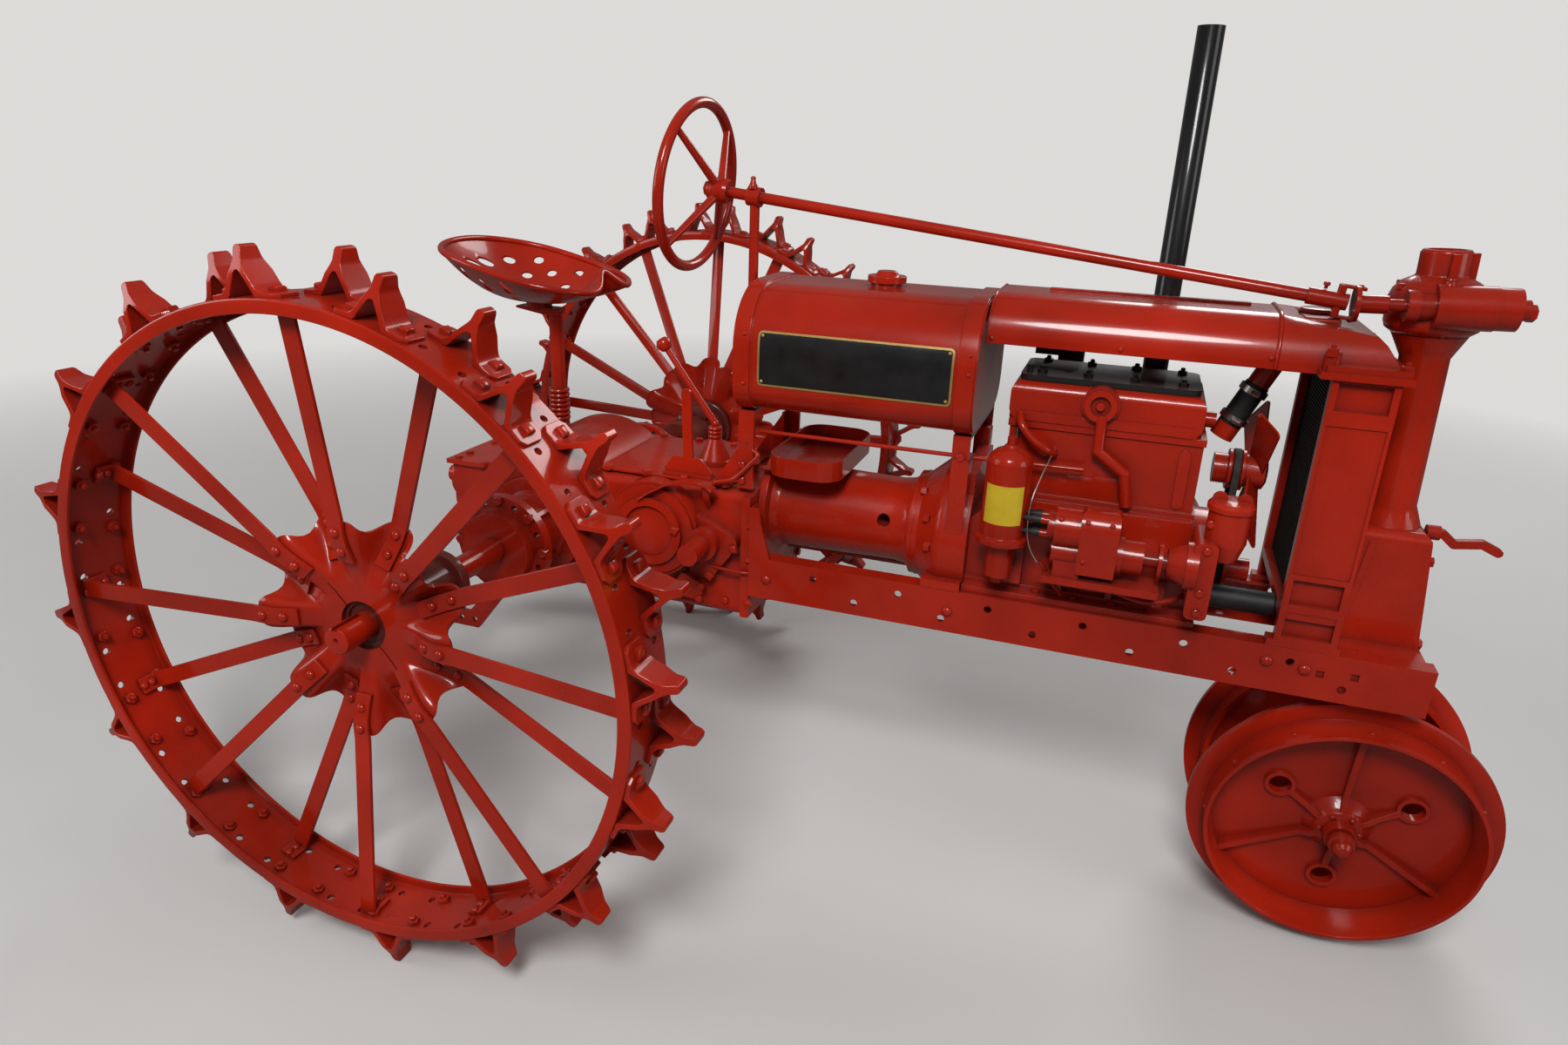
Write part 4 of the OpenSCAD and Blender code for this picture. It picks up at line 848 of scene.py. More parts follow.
@dataclass
class Fasteners:
    """Bolts and rivets of the standing parts."""

    # solid, way, head, its radius, whether the other side has them too, places
    rows: list[tuple] = field(default_factory=lambda: [
        ("gearcase", Side.RIGHT, Head.SQUARE, 14, True, [(403, 821), (550, 783), (486, 699)]),
        ("gearcase", Side.RIGHT, Head.HEX, 10, True,
         [(520, 625), (403, 690), (459, 661), (453, 624), (380, 630)]),
        ("gearcase", Side.FRONT, Head.HEX, 12, False,
         [(s * 195, z) for s in (-1, 1) for z in (849, 755, 635)]),
        ("gearcase_cover", Side.TOP, Head.SQUARE, 13, True,
         [(x, 166) for x in range(-150, 520, 110)]),
        ("axle_housing_right", Side.RIGHT, Head.HEX, 13, True,
         on_circle(0.0, 772.8, 119, 119, range(0, 360, 45))),
        ("engine_block", Side.TOP, Head.HEX, 10, True, [(x, 168) for x in range(1210, 1640, 84)]),
        ("side_rail_right", Side.RIGHT, Head.DOME, 13, True,
         [(1796, 732), (1872, 727), (1100, 716), (640, 716)]),
        ("radiator_frame", Side.TOP, Head.STUD, 12, True, [(1792, 186), (1926, 186)]),
        ("front_column", Side.FRONT, Head.HEX, 12, True, [(66, 700), (66, 770), (66, 960)]),
        ("fuel_tank", Side.RIGHT, Head.DOME, 5, True,
         [(1099, 1288), (1099, 1330), (575, 1330), (575, 1215)]),
        ("governor", Side.RIGHT, Head.HEX, 9, False,
         [(1631, 1035), (1631, 985), (1631, 890), (1631, 845)]),
        ("magneto", Side.RIGHT, Head.DOME, 6, False,
         [(1390, 1012), (1440, 1012), (1335, 1010), (1390, 925)]),
        ("steering_gear", Side.TOP, Head.HEX, 9, False,
         on_circle(1988.0, 0.0, 78, 78, (20, 80, 140, 200))),
        ("bell_housing", Side.REAR, Head.HEX, 12, False,
         on_circle(0.0, 855.8, 165, 125, range(0, 181, 30))),
        ("rear_housing", Side.TOP, Head.HEX, 11, True, [(-330, 60), (-330, 110), (-230, 130)]),
        ("hood", Side.RIGHT, Head.DOME, 6, True, [(1690, 1372), (1400, 1362), (1130, 1362)]),
        ("tank_mounts", Side.RIGHT, Head.HEX, 10, True, [(1093, 1090), (560, 960), (560, 1000)]),
    ])

    def build(self) -> None:
        """Seat every fastener and dress them by head."""
        for head in Head:
            places = []
            for node, side, kind, radius, both, spots in self.rows:
                if kind is not head:
                    continue
                places += self.seats(node, side, radius, spots)
                if both:
                    other = Side.LEFT if side is Side.RIGHT else side
                    flip = {Side.RIGHT: (1, 1), Side.TOP: (1, -1)}.get(side, (-1, 1))
                    mirrored = [(u * flip[0], v * flip[1]) for u, v in spots]
                    places += self.seats(node.replace("right", "left"), other, radius, mirrored)
            dress(Bench.copies("bolts_" + head.name.lower(), Bench.head(head), places), "cast_red")
        rows = [(x, y) for x in range(1240, 1560, 100) for y in (70, -70)]
        studs = Bench.copies("head_studs", Bench.head(Head.STUD),
                             self.seats("head_cover", Side.TOP, 11, rows))
        dress(studs, "head_black")

    @staticmethod
    def seats(node: str, side: Side, radius: float, spots: list) -> list[Matrix]:
        """Give the places of one row of fasteners."""
        found = []
        for k, (u, v) in enumerate(spots):
            seat = Ground.seat(node, side, u, v)
            if seat is None:
                LOG.warning("no seat on %s at %s %s", node, u, v)
                continue
            twist = Matrix.Rotation(0.35 + 0.7 * k, 4, "Z") @ Matrix.Scale(radius, 4)
            found.append(Matrix.Translation(seat) @ side.turn() @ twist)
        return found


@dataclass
class RearWheel:
    """Rear wheel about its own axis, with Z pointing outwards: rim, lugs, spokes, disc and hub."""

    rim: float = 686.0
    wide: float = 152.0
    band: float = 10.0
    lugs: int = 16
    rows: tuple[float, float] = (-38.0, -114.0)
    lug_half: float = 32.0
    bolt_at: float = 54.0
    foot_top: float = 6.0
    hole_at: float = 92.0
    face: float = 1016.0
    flutes: int = 8
    disc_z: float = -123.7
    disc_t: float = 8.0
    disc_r0: float = 90.0
    disc_r: float = 245.0
    flute: float = 36.0
    scallop: float = 26.0
    opening: float = 55.0
    spoke_w: float = 38.0
    spoke_t: float = 9.0
    foot: float = 44.0
    gap: float = 0.6
    shaft: float = 30.0
    clamp_bolts: float = 70.0
    slit: tuple[float, float] = (115.0, 2.0)
    slit_turn: float = 132.0

    def build(self) -> None:
        """Model each piece once and stand it in both wheels."""
        self.both("rim", self.band_ring(), "rear_rim_")
        self.both("lugs", self.lug_set())
        self.both("lug_bolts", self.bolt_set(1, Head.SQUARE, 15.0))
        self.both("lug_nuts", self.bolt_set(-1, Head.STUD, 13.0))
        self.both("spokes", self.spoke_set(), "rear_spokes_")
        self.both("rivets", self.rivet_set())
        self.both("disc", self.disc(), "rear_hub_")
        self.both("clamp", self.clamp(), finish="dull_red")
        self.both("shaft", self.axle_end())

    def both(self, part: str, model: Piece, stands_for: str = "",
             finish: str = "wheel_red") -> None:
        """Stand a piece, modelled about the wheel's axis, in the right and the left wheel."""
        right = Matrix.Translation((AXLE_X, -self.face * MM, AXLE_Z)) @ Matrix.Rotation(
            math.pi / 2, 4, "X")
        spare = bpy.data.objects.new("spare", model.data.copy())
        for side, body, source, matrix in (("right", Body.REAR_RIGHT, model, right),
                                           ("left", Body.REAR_LEFT, spare, FLIP @ right)):
            piece = Bench.copies("rear_" + side + "_" + part, source, [matrix])
            dress(piece, finish, body, stands_for + side if stands_for else "")

    def angles(self, row: int) -> list[float]:
        """Give the angles of one row's lugs."""
        step = math.tau / self.lugs
        first = -math.pi / 2 + (step if row == 0 else -step) / 4
        return [first + i * step for i in range(self.lugs)]

    def band_ring(self) -> Piece:
        """Make the rim with its rolled lips and oval holes."""
        r, w = self.rim, self.wide
        half = [(r, 5), (r - 1.5, 1.6), (r - 5, 0), (r - 24, 0), (r - 27.4, 1.5), (r - 28, 4.5),
                (r - 27, 7), (r - 24, 8), (r - self.band - 4, 8), (r - self.band - 1, 9),
                (r - self.band, 12)]
        profile = [(a, -b) for a, b in half] + [(a, b - w) for a, b in half[::-1]]
        ring = Bench.turned("rim", profile + profile[:1], steps=192)
        hole = Bench.turned("hole", [(0, -30), (1, -30), (1, 30), (0, 30)], steps=14)
        shape = Matrix.Diagonal((7.5, 9.0, 1.0, 1.0))
        places = [Matrix.Rotation(a + s * self.hole_at / r, 4, "Z")
                  @ shift(r, 0.0, self.rows[row]) @ Side.FRONT.turn() @ shape
                  for row in (0, 1) for a in self.angles(row) for s in (-1, 1)]
        Bench.cut(ring, Bench.copies("holes", hole, places))
        return Bench.soften(ring)

    def lug_set(self) -> Piece:
        """Fold one lug from plate, clip its corners, and copy it round both rows."""
        outer = [(-5.4, 78), (3.0, 78), (7.6, 46), (9.5, 40), (14, 35), (22, 30), (42, 20),
                 (58, 12), (66, 9), (84, 9), (89, 6.5), (90, 3)]
        arch = [(-1.2, 30), (4, 27), (14, 22.5), (34, 12), (43, 7), (47, 3)]
        outline = outer + [(h, -t) for h, t in outer[::-1]]
        outline += [(h, -t) for h, t in arch] + arch[::-1]
        low = -self.lug_half
        corners = [Vector(((self.rim + h) * MM, t * MM, low * MM)) for h, t in outline]
        lug = Bench.plate("lug", corners, Vector((0.0, 0.0, 2 * self.lug_half * MM)))
        for s in (-1, 1):
            self.clip(lug, (self.rim + 42, 0.0, s * self.lug_half), (14.0, 0.0, s * 46.0))
            for t in (-1, 1):
                self.clip(lug, (self.rim, t * 78.0, s * 21.0), (0.0, t, s))
        Bench.soften(lug, 1.6, 32.0)
        return Bench.copies("lugs", lug, [
            shift(0.0, 0.0, self.rows[row]) @ Matrix.Rotation(a, 4, "Z")
            for row in (0, 1) for a in self.angles(row)])

    @staticmethod
    def clip(piece: Piece, spot: Point, way: Point) -> None:
        """Cut off what lies past a plane through a spot in millimetres."""
        with Bench.editing(piece):
            bpy.ops.mesh.bisect(plane_co=[c * MM for c in spot], plane_no=Vector(way).normalized(),
                                use_fill=True, clear_outer=True)

    def bolt_set(self, way: int, head: Head, radius: float) -> Piece:
        """Bolt the lugs' feet: heads outside with way 1, nuts inside with way -1."""
        inside = math.sqrt((self.rim - self.band) ** 2 - self.bolt_at ** 2)
        reach = self.rim + self.foot_top if way > 0 else inside
        turn = (Side.FRONT if way > 0 else Side.REAR).turn() @ Matrix.Rotation(math.pi / 4, 4, "Z")
        return Bench.copies("bolts", Bench.head(head), [
            Matrix.Rotation(a, 4, "Z") @ shift(reach, s * self.bolt_at, self.rows[row])
            @ turn @ Matrix.Scale(radius, 4)
            for row in (0, 1) for a in self.angles(row) for s in (-1, 1)])

    def rise(self, r: float) -> float:
        """Give how far the flutes rise at a radius, from zero at the flat to one at the tips."""
        t = min(1.0, max(0.0, (r - self.disc_r0) / (self.disc_r - self.disc_r0) / 0.88))
        return self.flute * t * t * (3 - 2 * t)

    def spoke_set(self) -> Piece:
        """Bend the two kinds of flat spoke and stand them in turn round the disc."""
        foot_r = self.rim - self.band - self.gap
        made = []
        for w, band_z in ((1, self.rows[0]), (-1, self.rows[1])):
            base = [(r, self.disc_z + w * self.rise(r))
                    for r in (150, 165, 180, 195, 210, 225, 251)]
            t = self.spoke_t
            ends = [(foot_r - t, band_z), (foot_r - t, band_z - w * self.foot),
                    (foot_r, band_z - w * self.foot), (foot_r, band_z + t)]
            if w < 0:
                ends = [(foot_r, band_z), (foot_r, band_z + self.foot),
                        (foot_r - t, band_z + self.foot), (foot_r - t, band_z + t)]
            outline = base + ends + [(r, z + t) for r, z in base[::-1]]
            corners = [Vector((r * MM, -self.spoke_w / 2 * MM, z * MM)) for r, z in outline]
            bar = Bench.plate("bar", corners, Vector((0.0, self.spoke_w * MM, 0.0)), 2.0)
            start = 0.0 if w > 0 else math.pi / self.flutes
            made.append(Bench.copies("bars", bar, around(self.flutes, Matrix(), start)))
        return Bench.join("spokes", made)

    def rivet_set(self) -> Piece:
        """Rivet the spokes to the disc's tips and to the inside of the rim."""
        places = []
        foot = self.rim - self.band - self.gap - self.spoke_t
        for i in range(2 * self.flutes):
            w = 1 if i % 2 == 0 else -1
            turn = Matrix.Rotation(i * math.pi / self.flutes, 4, "Z")
            for r in (178.0, 223.0):
                z = self.disc_z + w * self.rise(r) + self.spoke_t
                places.append(turn @ shift(r, 0.0, z) @ Matrix.Scale(10.5, 4))
            for s in (-10, 10):
                z = self.rows[i % 2] - w * (self.foot * 0.62 + s)
                places.append(turn @ shift(foot, 0.0, z) @ Side.REAR.turn() @ Matrix.Scale(9.0, 4))
        return Bench.copies("rivets", Bench.head(Head.DOME), places)

    def disc(self) -> Piece:
        """Press the fluted disc: broad lobes, deep valleys, a scalloped edge and a slit."""
        n, steps = 40 * self.flutes, 26
        rows = []
        for i in range(steps + 1):
            row = []
            for j in range(n):
                a = math.tau * j / n
                w = math.tanh(2.3 * (math.cos(self.flutes * a) + 0.08))
                edge = self.disc_r - self.scallop * (1 - w * w)
                r = self.opening + (edge - self.opening) * i / steps
                rolled = 3.0 * max(0.0, (i - steps + 2) / 2) ** 2
                z = self.disc_z + w * self.rise(r) - rolled
                row.append(Vector((r * math.cos(a), r * math.sin(a), z)) * MM)
            rows.append(row)
        disc = Bench.heal(Bench.grid("disc", rows, True))
        Bench.thicken(disc, self.disc_t, Vector(Side.TOP.value))
        long, half = self.slit
        slit = Bench.block("slit", (-long, -half, self.disc_z - 30), (long, half, self.disc_z + 30))
        slit.data.transform(Matrix.Rotation(math.radians(self.slit_turn), 4, "Z"))
        Bench.cut(disc, slit)
        return Bench.soften(disc)

    def clamp(self) -> Piece:
        """Turn the ribbed hub behind the disc."""
        d, bore = self.disc_z, self.shaft + self.gap
        profile = [(bore, -14), (44, -14), (46, -9), (96, -9), (98, -12), (98, -34), (94, -37),
                   (78, -38), (78, -62), (92, -65), (93, -84), (88, -88), (62, -92), (60, -236),
                   (72, -240), (74, -244), (74, -262), (70, -266), (bore, -266), (bore, -14)]
        hub = Bench.turned("hub", [(r, d + z) for r, z in profile], steps=64)
        Bench.soften(hub)
        rib = Bench.block("rib", (62.0, -9.0, d - 112), (94.0, 9.0, d - 62))
        Bench.soften(rib, 3.0)
        ribs = Bench.copies("ribs", rib, around(6, Matrix()))
        spot = shift(self.clamp_bolts, 0.0, d - 9) @ Matrix.Scale(11.0, 4)
        bolts = Bench.copies("bolts", Bench.head(Head.HEX), around(6, spot, math.pi / 6))
        return Bench.join("clamp", [hub, ribs, bolts])

    def axle_end(self) -> Piece:
        """Turn the shaft and cut its keyway."""
        r = self.shaft
        profile = [(0, -56), (2.5, -54), (7, -45), (r - 3, -45), (r, -48), (r, -786), (0, -786)]
        shaft = Bench.turned("shaft", profile, steps=48)
        Bench.cut(shaft, Bench.block("key", (-7.0, r - 8, -120.0), (7.0, r + 10, -40.0)))
        return Bench.soften(shaft, 0.6, 60.0)


@dataclass
class FrontRivets:
    """Small rivets round the outer half of the front wheels' tread, and the hub cap's bolts."""

    axle: Point = (2029.0, -122.416, 323.061)
    camber: float = 6.0
    rivets: int = 12
    rivet_r: float = 286.0
    rivet_z: float = 48.0
    cap_r: float = 41.0
    cap_z: float = 36.0

    def build(self) -> None:
        """Model the set once and stand it in both wheels."""
        turned = Matrix.Rotation(math.radians(90 + self.camber), 4, "X")
        right = Matrix.Translation(place(*self.axle)) @ turned
        tread = shift(self.rivet_r, 0.0, self.rivet_z) @ Side.FRONT.turn() @ Matrix.Scale(6.0, 4)
        cap = shift(self.cap_r, 0.0, self.cap_z) @ Matrix.Scale(7.0, 4)
        spots = around(self.rivets, tread) + around(6, cap)
        for side, body, stand in (("right", Body.FRONT_RIGHT, right),
                                  ("left", Body.FRONT_LEFT, FLIP @ right)):
            rivets = Bench.copies("front_" + side + "_rivets", Bench.head(Head.DOME),
                                  [stand @ spot for spot in spots])
            dress(rivets, "wheel_red", body)


@dataclass
class Seat:
    """Pressed pan seat with its rolled edge, thigh lobes, pommel and holes."""

    x: float = -112.0
    z: float = 1321.8
    long: float = 480.0
    wide: float = 450.0
    deep: float = 96.0
    thick: float = 5.0
    hole: float = 13.5
    roll: float = 8.0
    around: int = 120
    across: int = 26
    edge_steps: int = 96

    def at(self, r: float, t: float) -> Vector:
        """Give the point of the pan's top at a share of its radius and a turn from the front."""
        front = max(0.0, math.cos(t)) ** 36
        reach = r * (1 - 0.04 * math.cos(4 * t) - 0.14 * front)
        height = self.deep * r ** 2.4 * (0.95 - 0.56 * math.cos(t) + 0.52 * front)
        return place(self.x + reach * self.long / 2 * math.cos(t),
                     reach * self.wide / 2 * math.sin(t), self.z + height + 6)

    def build(self) -> None:
        """Press the pan, punch its holes and roll its edge."""
        n, steps = self.around, self.across
        rows = [[self.at(0.02 + 0.98 * i / steps, math.tau * j / n) for j in range(n)]
                for i in range(steps + 1)]
        pan = Bench.grid("seat_pan", rows, True, middle=True)
        Bench.heal(Bench.thicken(pan, self.thick, Vector(Side.TOP.value)))
        hole = self.hole
        punch = Bench.turned("punch", [(0, -30), (hole, -30), (hole, 30), (0, 30)], steps=24)
        one_side = ((0.80, 171), (0.82, 144), (0.86, 120), (0.61, 159), (0.65, 132), (0.73, 108),
                    (0.82, 84), (0.56, 86))
        spots = [(r, s * t) for r, t in one_side for s in (-1, 1)]
        lying = [self.lie(r, math.radians(t)) for r, t in spots]
        Bench.cut(pan, Bench.copies("punches", punch, lying))
        Bench.soften(pan)
        edge = [self.at(1.0, math.tau * j / self.edge_steps) for j in range(self.edge_steps + 1)]
        roll = Bench.tube("roll", edge, self.roll, smooth=False)
        dress(Bench.join("seat_pan", [pan, roll]), "sheet_red", stands_for="seat")

    def lie(self, r: float, t: float) -> Matrix:
        """Stand a punch square to the pan."""
        here = self.at(r, t)
        way = (self.at(r + 0.01, t) - here).cross(self.at(r, t + 0.01) - here)
        return Matrix.Translation(here) @ towards(way)


@dataclass
class Plates:
    """Blank plate on the tank, with its gold border and screws, and the filter's blank label."""

    x0: float = 608.0
    x1: float = 1064.0
    s0: float = -2.0
    s1: float = 126.0
    flat_z: float = 1214.8
    flat: float = 80.0
    bend: float = 140.0
    tank_y: float = 220.0
    thick: float = 1.2
    can: Point = (1209.0, -238.0, 930.0)
    can_r: float = 50.0
    label_out: float = 0.6
    label_t: float = 0.5

    def on_tank(self, x: float, s: float, out: float, side: int) -> Vector:
        """Give a point over the tank's side.

        Args:
            x: Place along the tank.
            s: Way up its skin from the foot of the flat part.
            out: Height over the skin.
            side: -1 for the right side and 1 for the left.

        Returns:
            The point in metres.
        """
        turn = max(0.0, s - self.flat) / self.bend
        y = self.tank_y - self.bend + (self.bend + out) * math.cos(turn)
        z = self.flat_z + min(s, self.flat) + (self.bend + out) * math.sin(turn)
        return place(x, side * y, z)

    def sheet(self, name: str, inset: float, out: float, radius: float, side: int) -> Piece:
        """Bend one sheet with round corners over the tank's side."""
        low, high, rows = self.s0 + inset, self.s1 - inset, []
        marks = [low + radius * (1 - math.cos(k * math.pi / 12)) for k in range(7)]
        marks += [low + radius + (high - low - 2 * radius) * k / 8 for k in range(1, 8)]
        marks += [high - radius * (1 - math.cos(k * math.pi / 12)) for k in range(6, -1, -1)]
        for s in marks:
            gap = max(0.0, radius - min(s - low, high - s))
            trim = inset + radius - math.sqrt(max(0.0, radius * radius - gap * gap))
            span = (self.x0 + trim, self.x1 - trim)
            rows.append([self.on_tank(span[0] + (span[1] - span[0]) * k / 12, s, out, side)
                         for k in range(13)])
        piece = Bench.heal(Bench.grid(name, rows, False), flip=False)
        return Bench.soften(Bench.thicken(piece, self.thick, Vector((0.0, side, 0.0))))

    def build(self) -> None:
        """Make the tank's plate and the filter's label."""
        dress(self.sheet("plate_border", 0.0, 1.6, 11.0, -1), "border_gold")
        dress(self.sheet("plate_face", 5.0, 2.4, 7.0, -1), "plate_black")
        screws = []
        for x in (self.x0 + 11, self.x1 - 11):
            for s in (self.s0 + 11, self.s1 - 11):
                here = self.on_tank(x, s, 2.2, -1)
                way = self.on_tank(x, s, 12.0, -1) - here
                screws.append(Matrix.Translation(here) @ towards(way) @ Matrix.Scale(4.0, 4))
        dress(Bench.copies("plate_screws", Bench.head(Head.DOME), screws), "border_gold")
        x, y, z = self.can
        r = self.can_r + self.label_out
        turns = [math.radians(-142 + 4 * k) for k in range(27)]
        rows = [[place(x + r * math.cos(a), y + r * math.sin(a), z + h) for a in turns]
                for h in (50, 51.5, 94, 137, 138.5)]
        label = Bench.heal(Bench.grid("filter_label", rows, False), flip=False)
        Bench.thicken(label, self.label_t, Vector(Side.RIGHT.value))
        dress(Bench.soften(label), "label_yellow")


@dataclass
class Wiring:
    """Plug boots and wires, and the thin pipes beside the engine."""

    towers: tuple[tuple[float, float], ...] = (
        (-260.0, 967.8), (-224.0, 967.8), (-260.0, 997.8), (-224.0, 997.8))
    tower_x: float = 1285.0

    def build(self) -> None:
        """Make the boots, then the wires and the pipes."""
        boots, wires = [], []
        boot = [(0, -6), (9.5, -6), (10, 0), (9.5, 10), (7, 14), (6.4, 24), (3.8, 32), (0, 32)]
        for k, (y, z) in enumerate(self.towers):
            boots.append(Bench.turned("boot", boot, place(self.tower_x, y, z),
                                      (0.0, -math.pi / 2, 0.0), 24))
            path = route((self.tower_x - 28, y, z), (self.tower_x - 52 - 5 * k, y, z + 8),
                         (self.tower_x - 74, y + 10, z + 60), (1212, -176 + 6 * k, 1100),
                         (1206, -150 + 8 * k, 1150), (1208, -128 + 5 * k, 1188))
            wires.append(Bench.tube("wire", path, 3.2))
        rubber = Bench.soften(Bench.join("plug_boots", boots))
        dress(rubber, "hose_rubber")
        dress(Bench.join("plug_wires", wires), "hose_rubber")
        for name, radius, finish, path in (
                ("control_wire", 1.6, "bright_steel",
                 [(1290, -180, 1120), (1268, -246, 1060), (1262, -262, 1000), (1270, -272, 930),
                  (1296, -280, 905)]),
                ("oil_pipe", 4.5, "wheel_red",
                 [(1300, -262, 902), (1318, -262, 880), (1326, -240, 850), (1345, -205, 815),
                  (1352, -190, 800)]),
                ("shelf_pipe", 6.0, "wheel_red",
                 [(1400, -150, 870), (1440, -205, 846), (1510, -222, 826), (1570, -215, 830),
                  (1618, -190, 852), (1632, -160, 862)]),
                ("breather", 9.0, "wheel_red",
                 [(1207, -112, 1196), (1207, -150, 1186), (1236, -158, 1150), (1273, -160, 1128),
                  (1290, -140, 1112), (1292, -116, 1108)])):
            dress(Bench.tube(name, route(*path), radius), finish)


@dataclass
class SteeringTrim:
    """Nut, grease nipple and front fork of the steering line, and the steering head's trim."""

    bush: Point = (508.0, -14.0, 1622.0)
    hub: Point = (418.0, 0.0, 1631.8)
    joint: Point = (1830.42, -78.0, 1482.29)
    worm_y: float = -78.0
    worm_z: float = 1487.8
    king_x: float = 1988.3
    rib: tuple[tuple[float, float], ...] = ((1984.0, 1999.0), (-60.0, -40.0), (36.0, 99.0))

    def build(self) -> None:
        """Make the pieces of the standing parts, then the wheel's nut."""
        line = Vector(self.joint) - Vector(self.hub)
        way = tuple(line.to_track_quat("Z", "Y").to_euler())
        start = place(*self.hub)
        nut = Bench.turned("nut", [(0, -46), (9, -45), (14, -40), (19, -36), (19, -24), (0, -24)],
                           start, way, 6)
        ring = Bench.turned("ring", [(0, -30), (24, -30), (27, -26), (27, -20), (0, -20)],
                            start, way)
        dress(Bench.soften(Bench.join("wheel_nut", [ring, nut]), 0.8), "wheel_red", Body.WHEEL)
        nipple = Bench.turned("nipple", [(0, 18), (11, 18), (11, 26), (8, 30), (5.5, 40), (6.5, 42),
                                         (5, 46), (3, 47), (0, 47)], place(*self.bush), steps=20)
        cup = Bench.turned("cup", [(0, 0), (12, 0), (12, 8), (10, 10), (9, 16), (10, 18), (9, 21),
                                   (0, 22)],
                           place(self.king_x - 4, self.worm_y, self.worm_z + 34), steps=24)
        plug = Bench.turned("plug", [(0, 136), (17, 136), (17, 148), (14, 151), (0, 151)],
                            place(self.king_x, self.worm_y, self.worm_z),
                            (0.0, math.pi / 2, 0.0), 6)
        (x0, x1), (y0, y1), (up0, up1) = self.rib
        rib = Bench.block("rib", (AXLE_X / MM + x0, y0, self.worm_z + up0),
                          (AXLE_X / MM + x1, y1, self.worm_z + up1))
        dress(Bench.soften(Bench.join("steering_trim", [nipple, cup, plug, rib]), 0.6), "cast_red")
        self.fork(Matrix.Translation(start) @ towards(line), line.length)

    @staticmethod
    def fork(stand: Matrix, reach: float) -> None:
        """Make the fork at the rod's front end, its pin's heads and the sleeve's set screw.

        Args:
            stand: Place of the rod, whose Z runs forward from the wheel's hub.
            reach: Distance from the hub to the joint in millimetres.
        """
        back, bend, front = reach - 38, reach - 24, reach + 12
        bars = [Bench.block("bar", (-9.0, inner, back), (9.0, outer, front))
                for inner, outer in ((27.0, 34.0), (-34.0, -27.0))]
        bars.append(Bench.block("bar", (-12.0, -33.0, back), (12.0, 33.0, bend)))
        screw = Bench.turned("screw", [(0, 0), (3.5, 0), (3.5, 6), (6.5, 7), (6.5, 12), (5, 14),
                                       (0, 14.5)], steps=12)
        screw.data.transform(shift(0.0, 18.5, reach - 61) @ Side.LEFT.turn())
        pins = Bench.copies("pins", Bench.head(Head.DOME), [
            shift(0.0, s * 34.0, reach) @ side.turn() @ Matrix.Scale(6.0, 4)
            for s, side in ((1, Side.LEFT), (-1, Side.RIGHT))])
        bars = [Bench.soften(bar, 2.0) for bar in bars]
        fork = Bench.join("rod_fork", [*bars, Bench.soften(screw, 0.4), pins])
        fork.data.transform(stand)
        dress(fork, "wheel_red", Body.WHEEL)


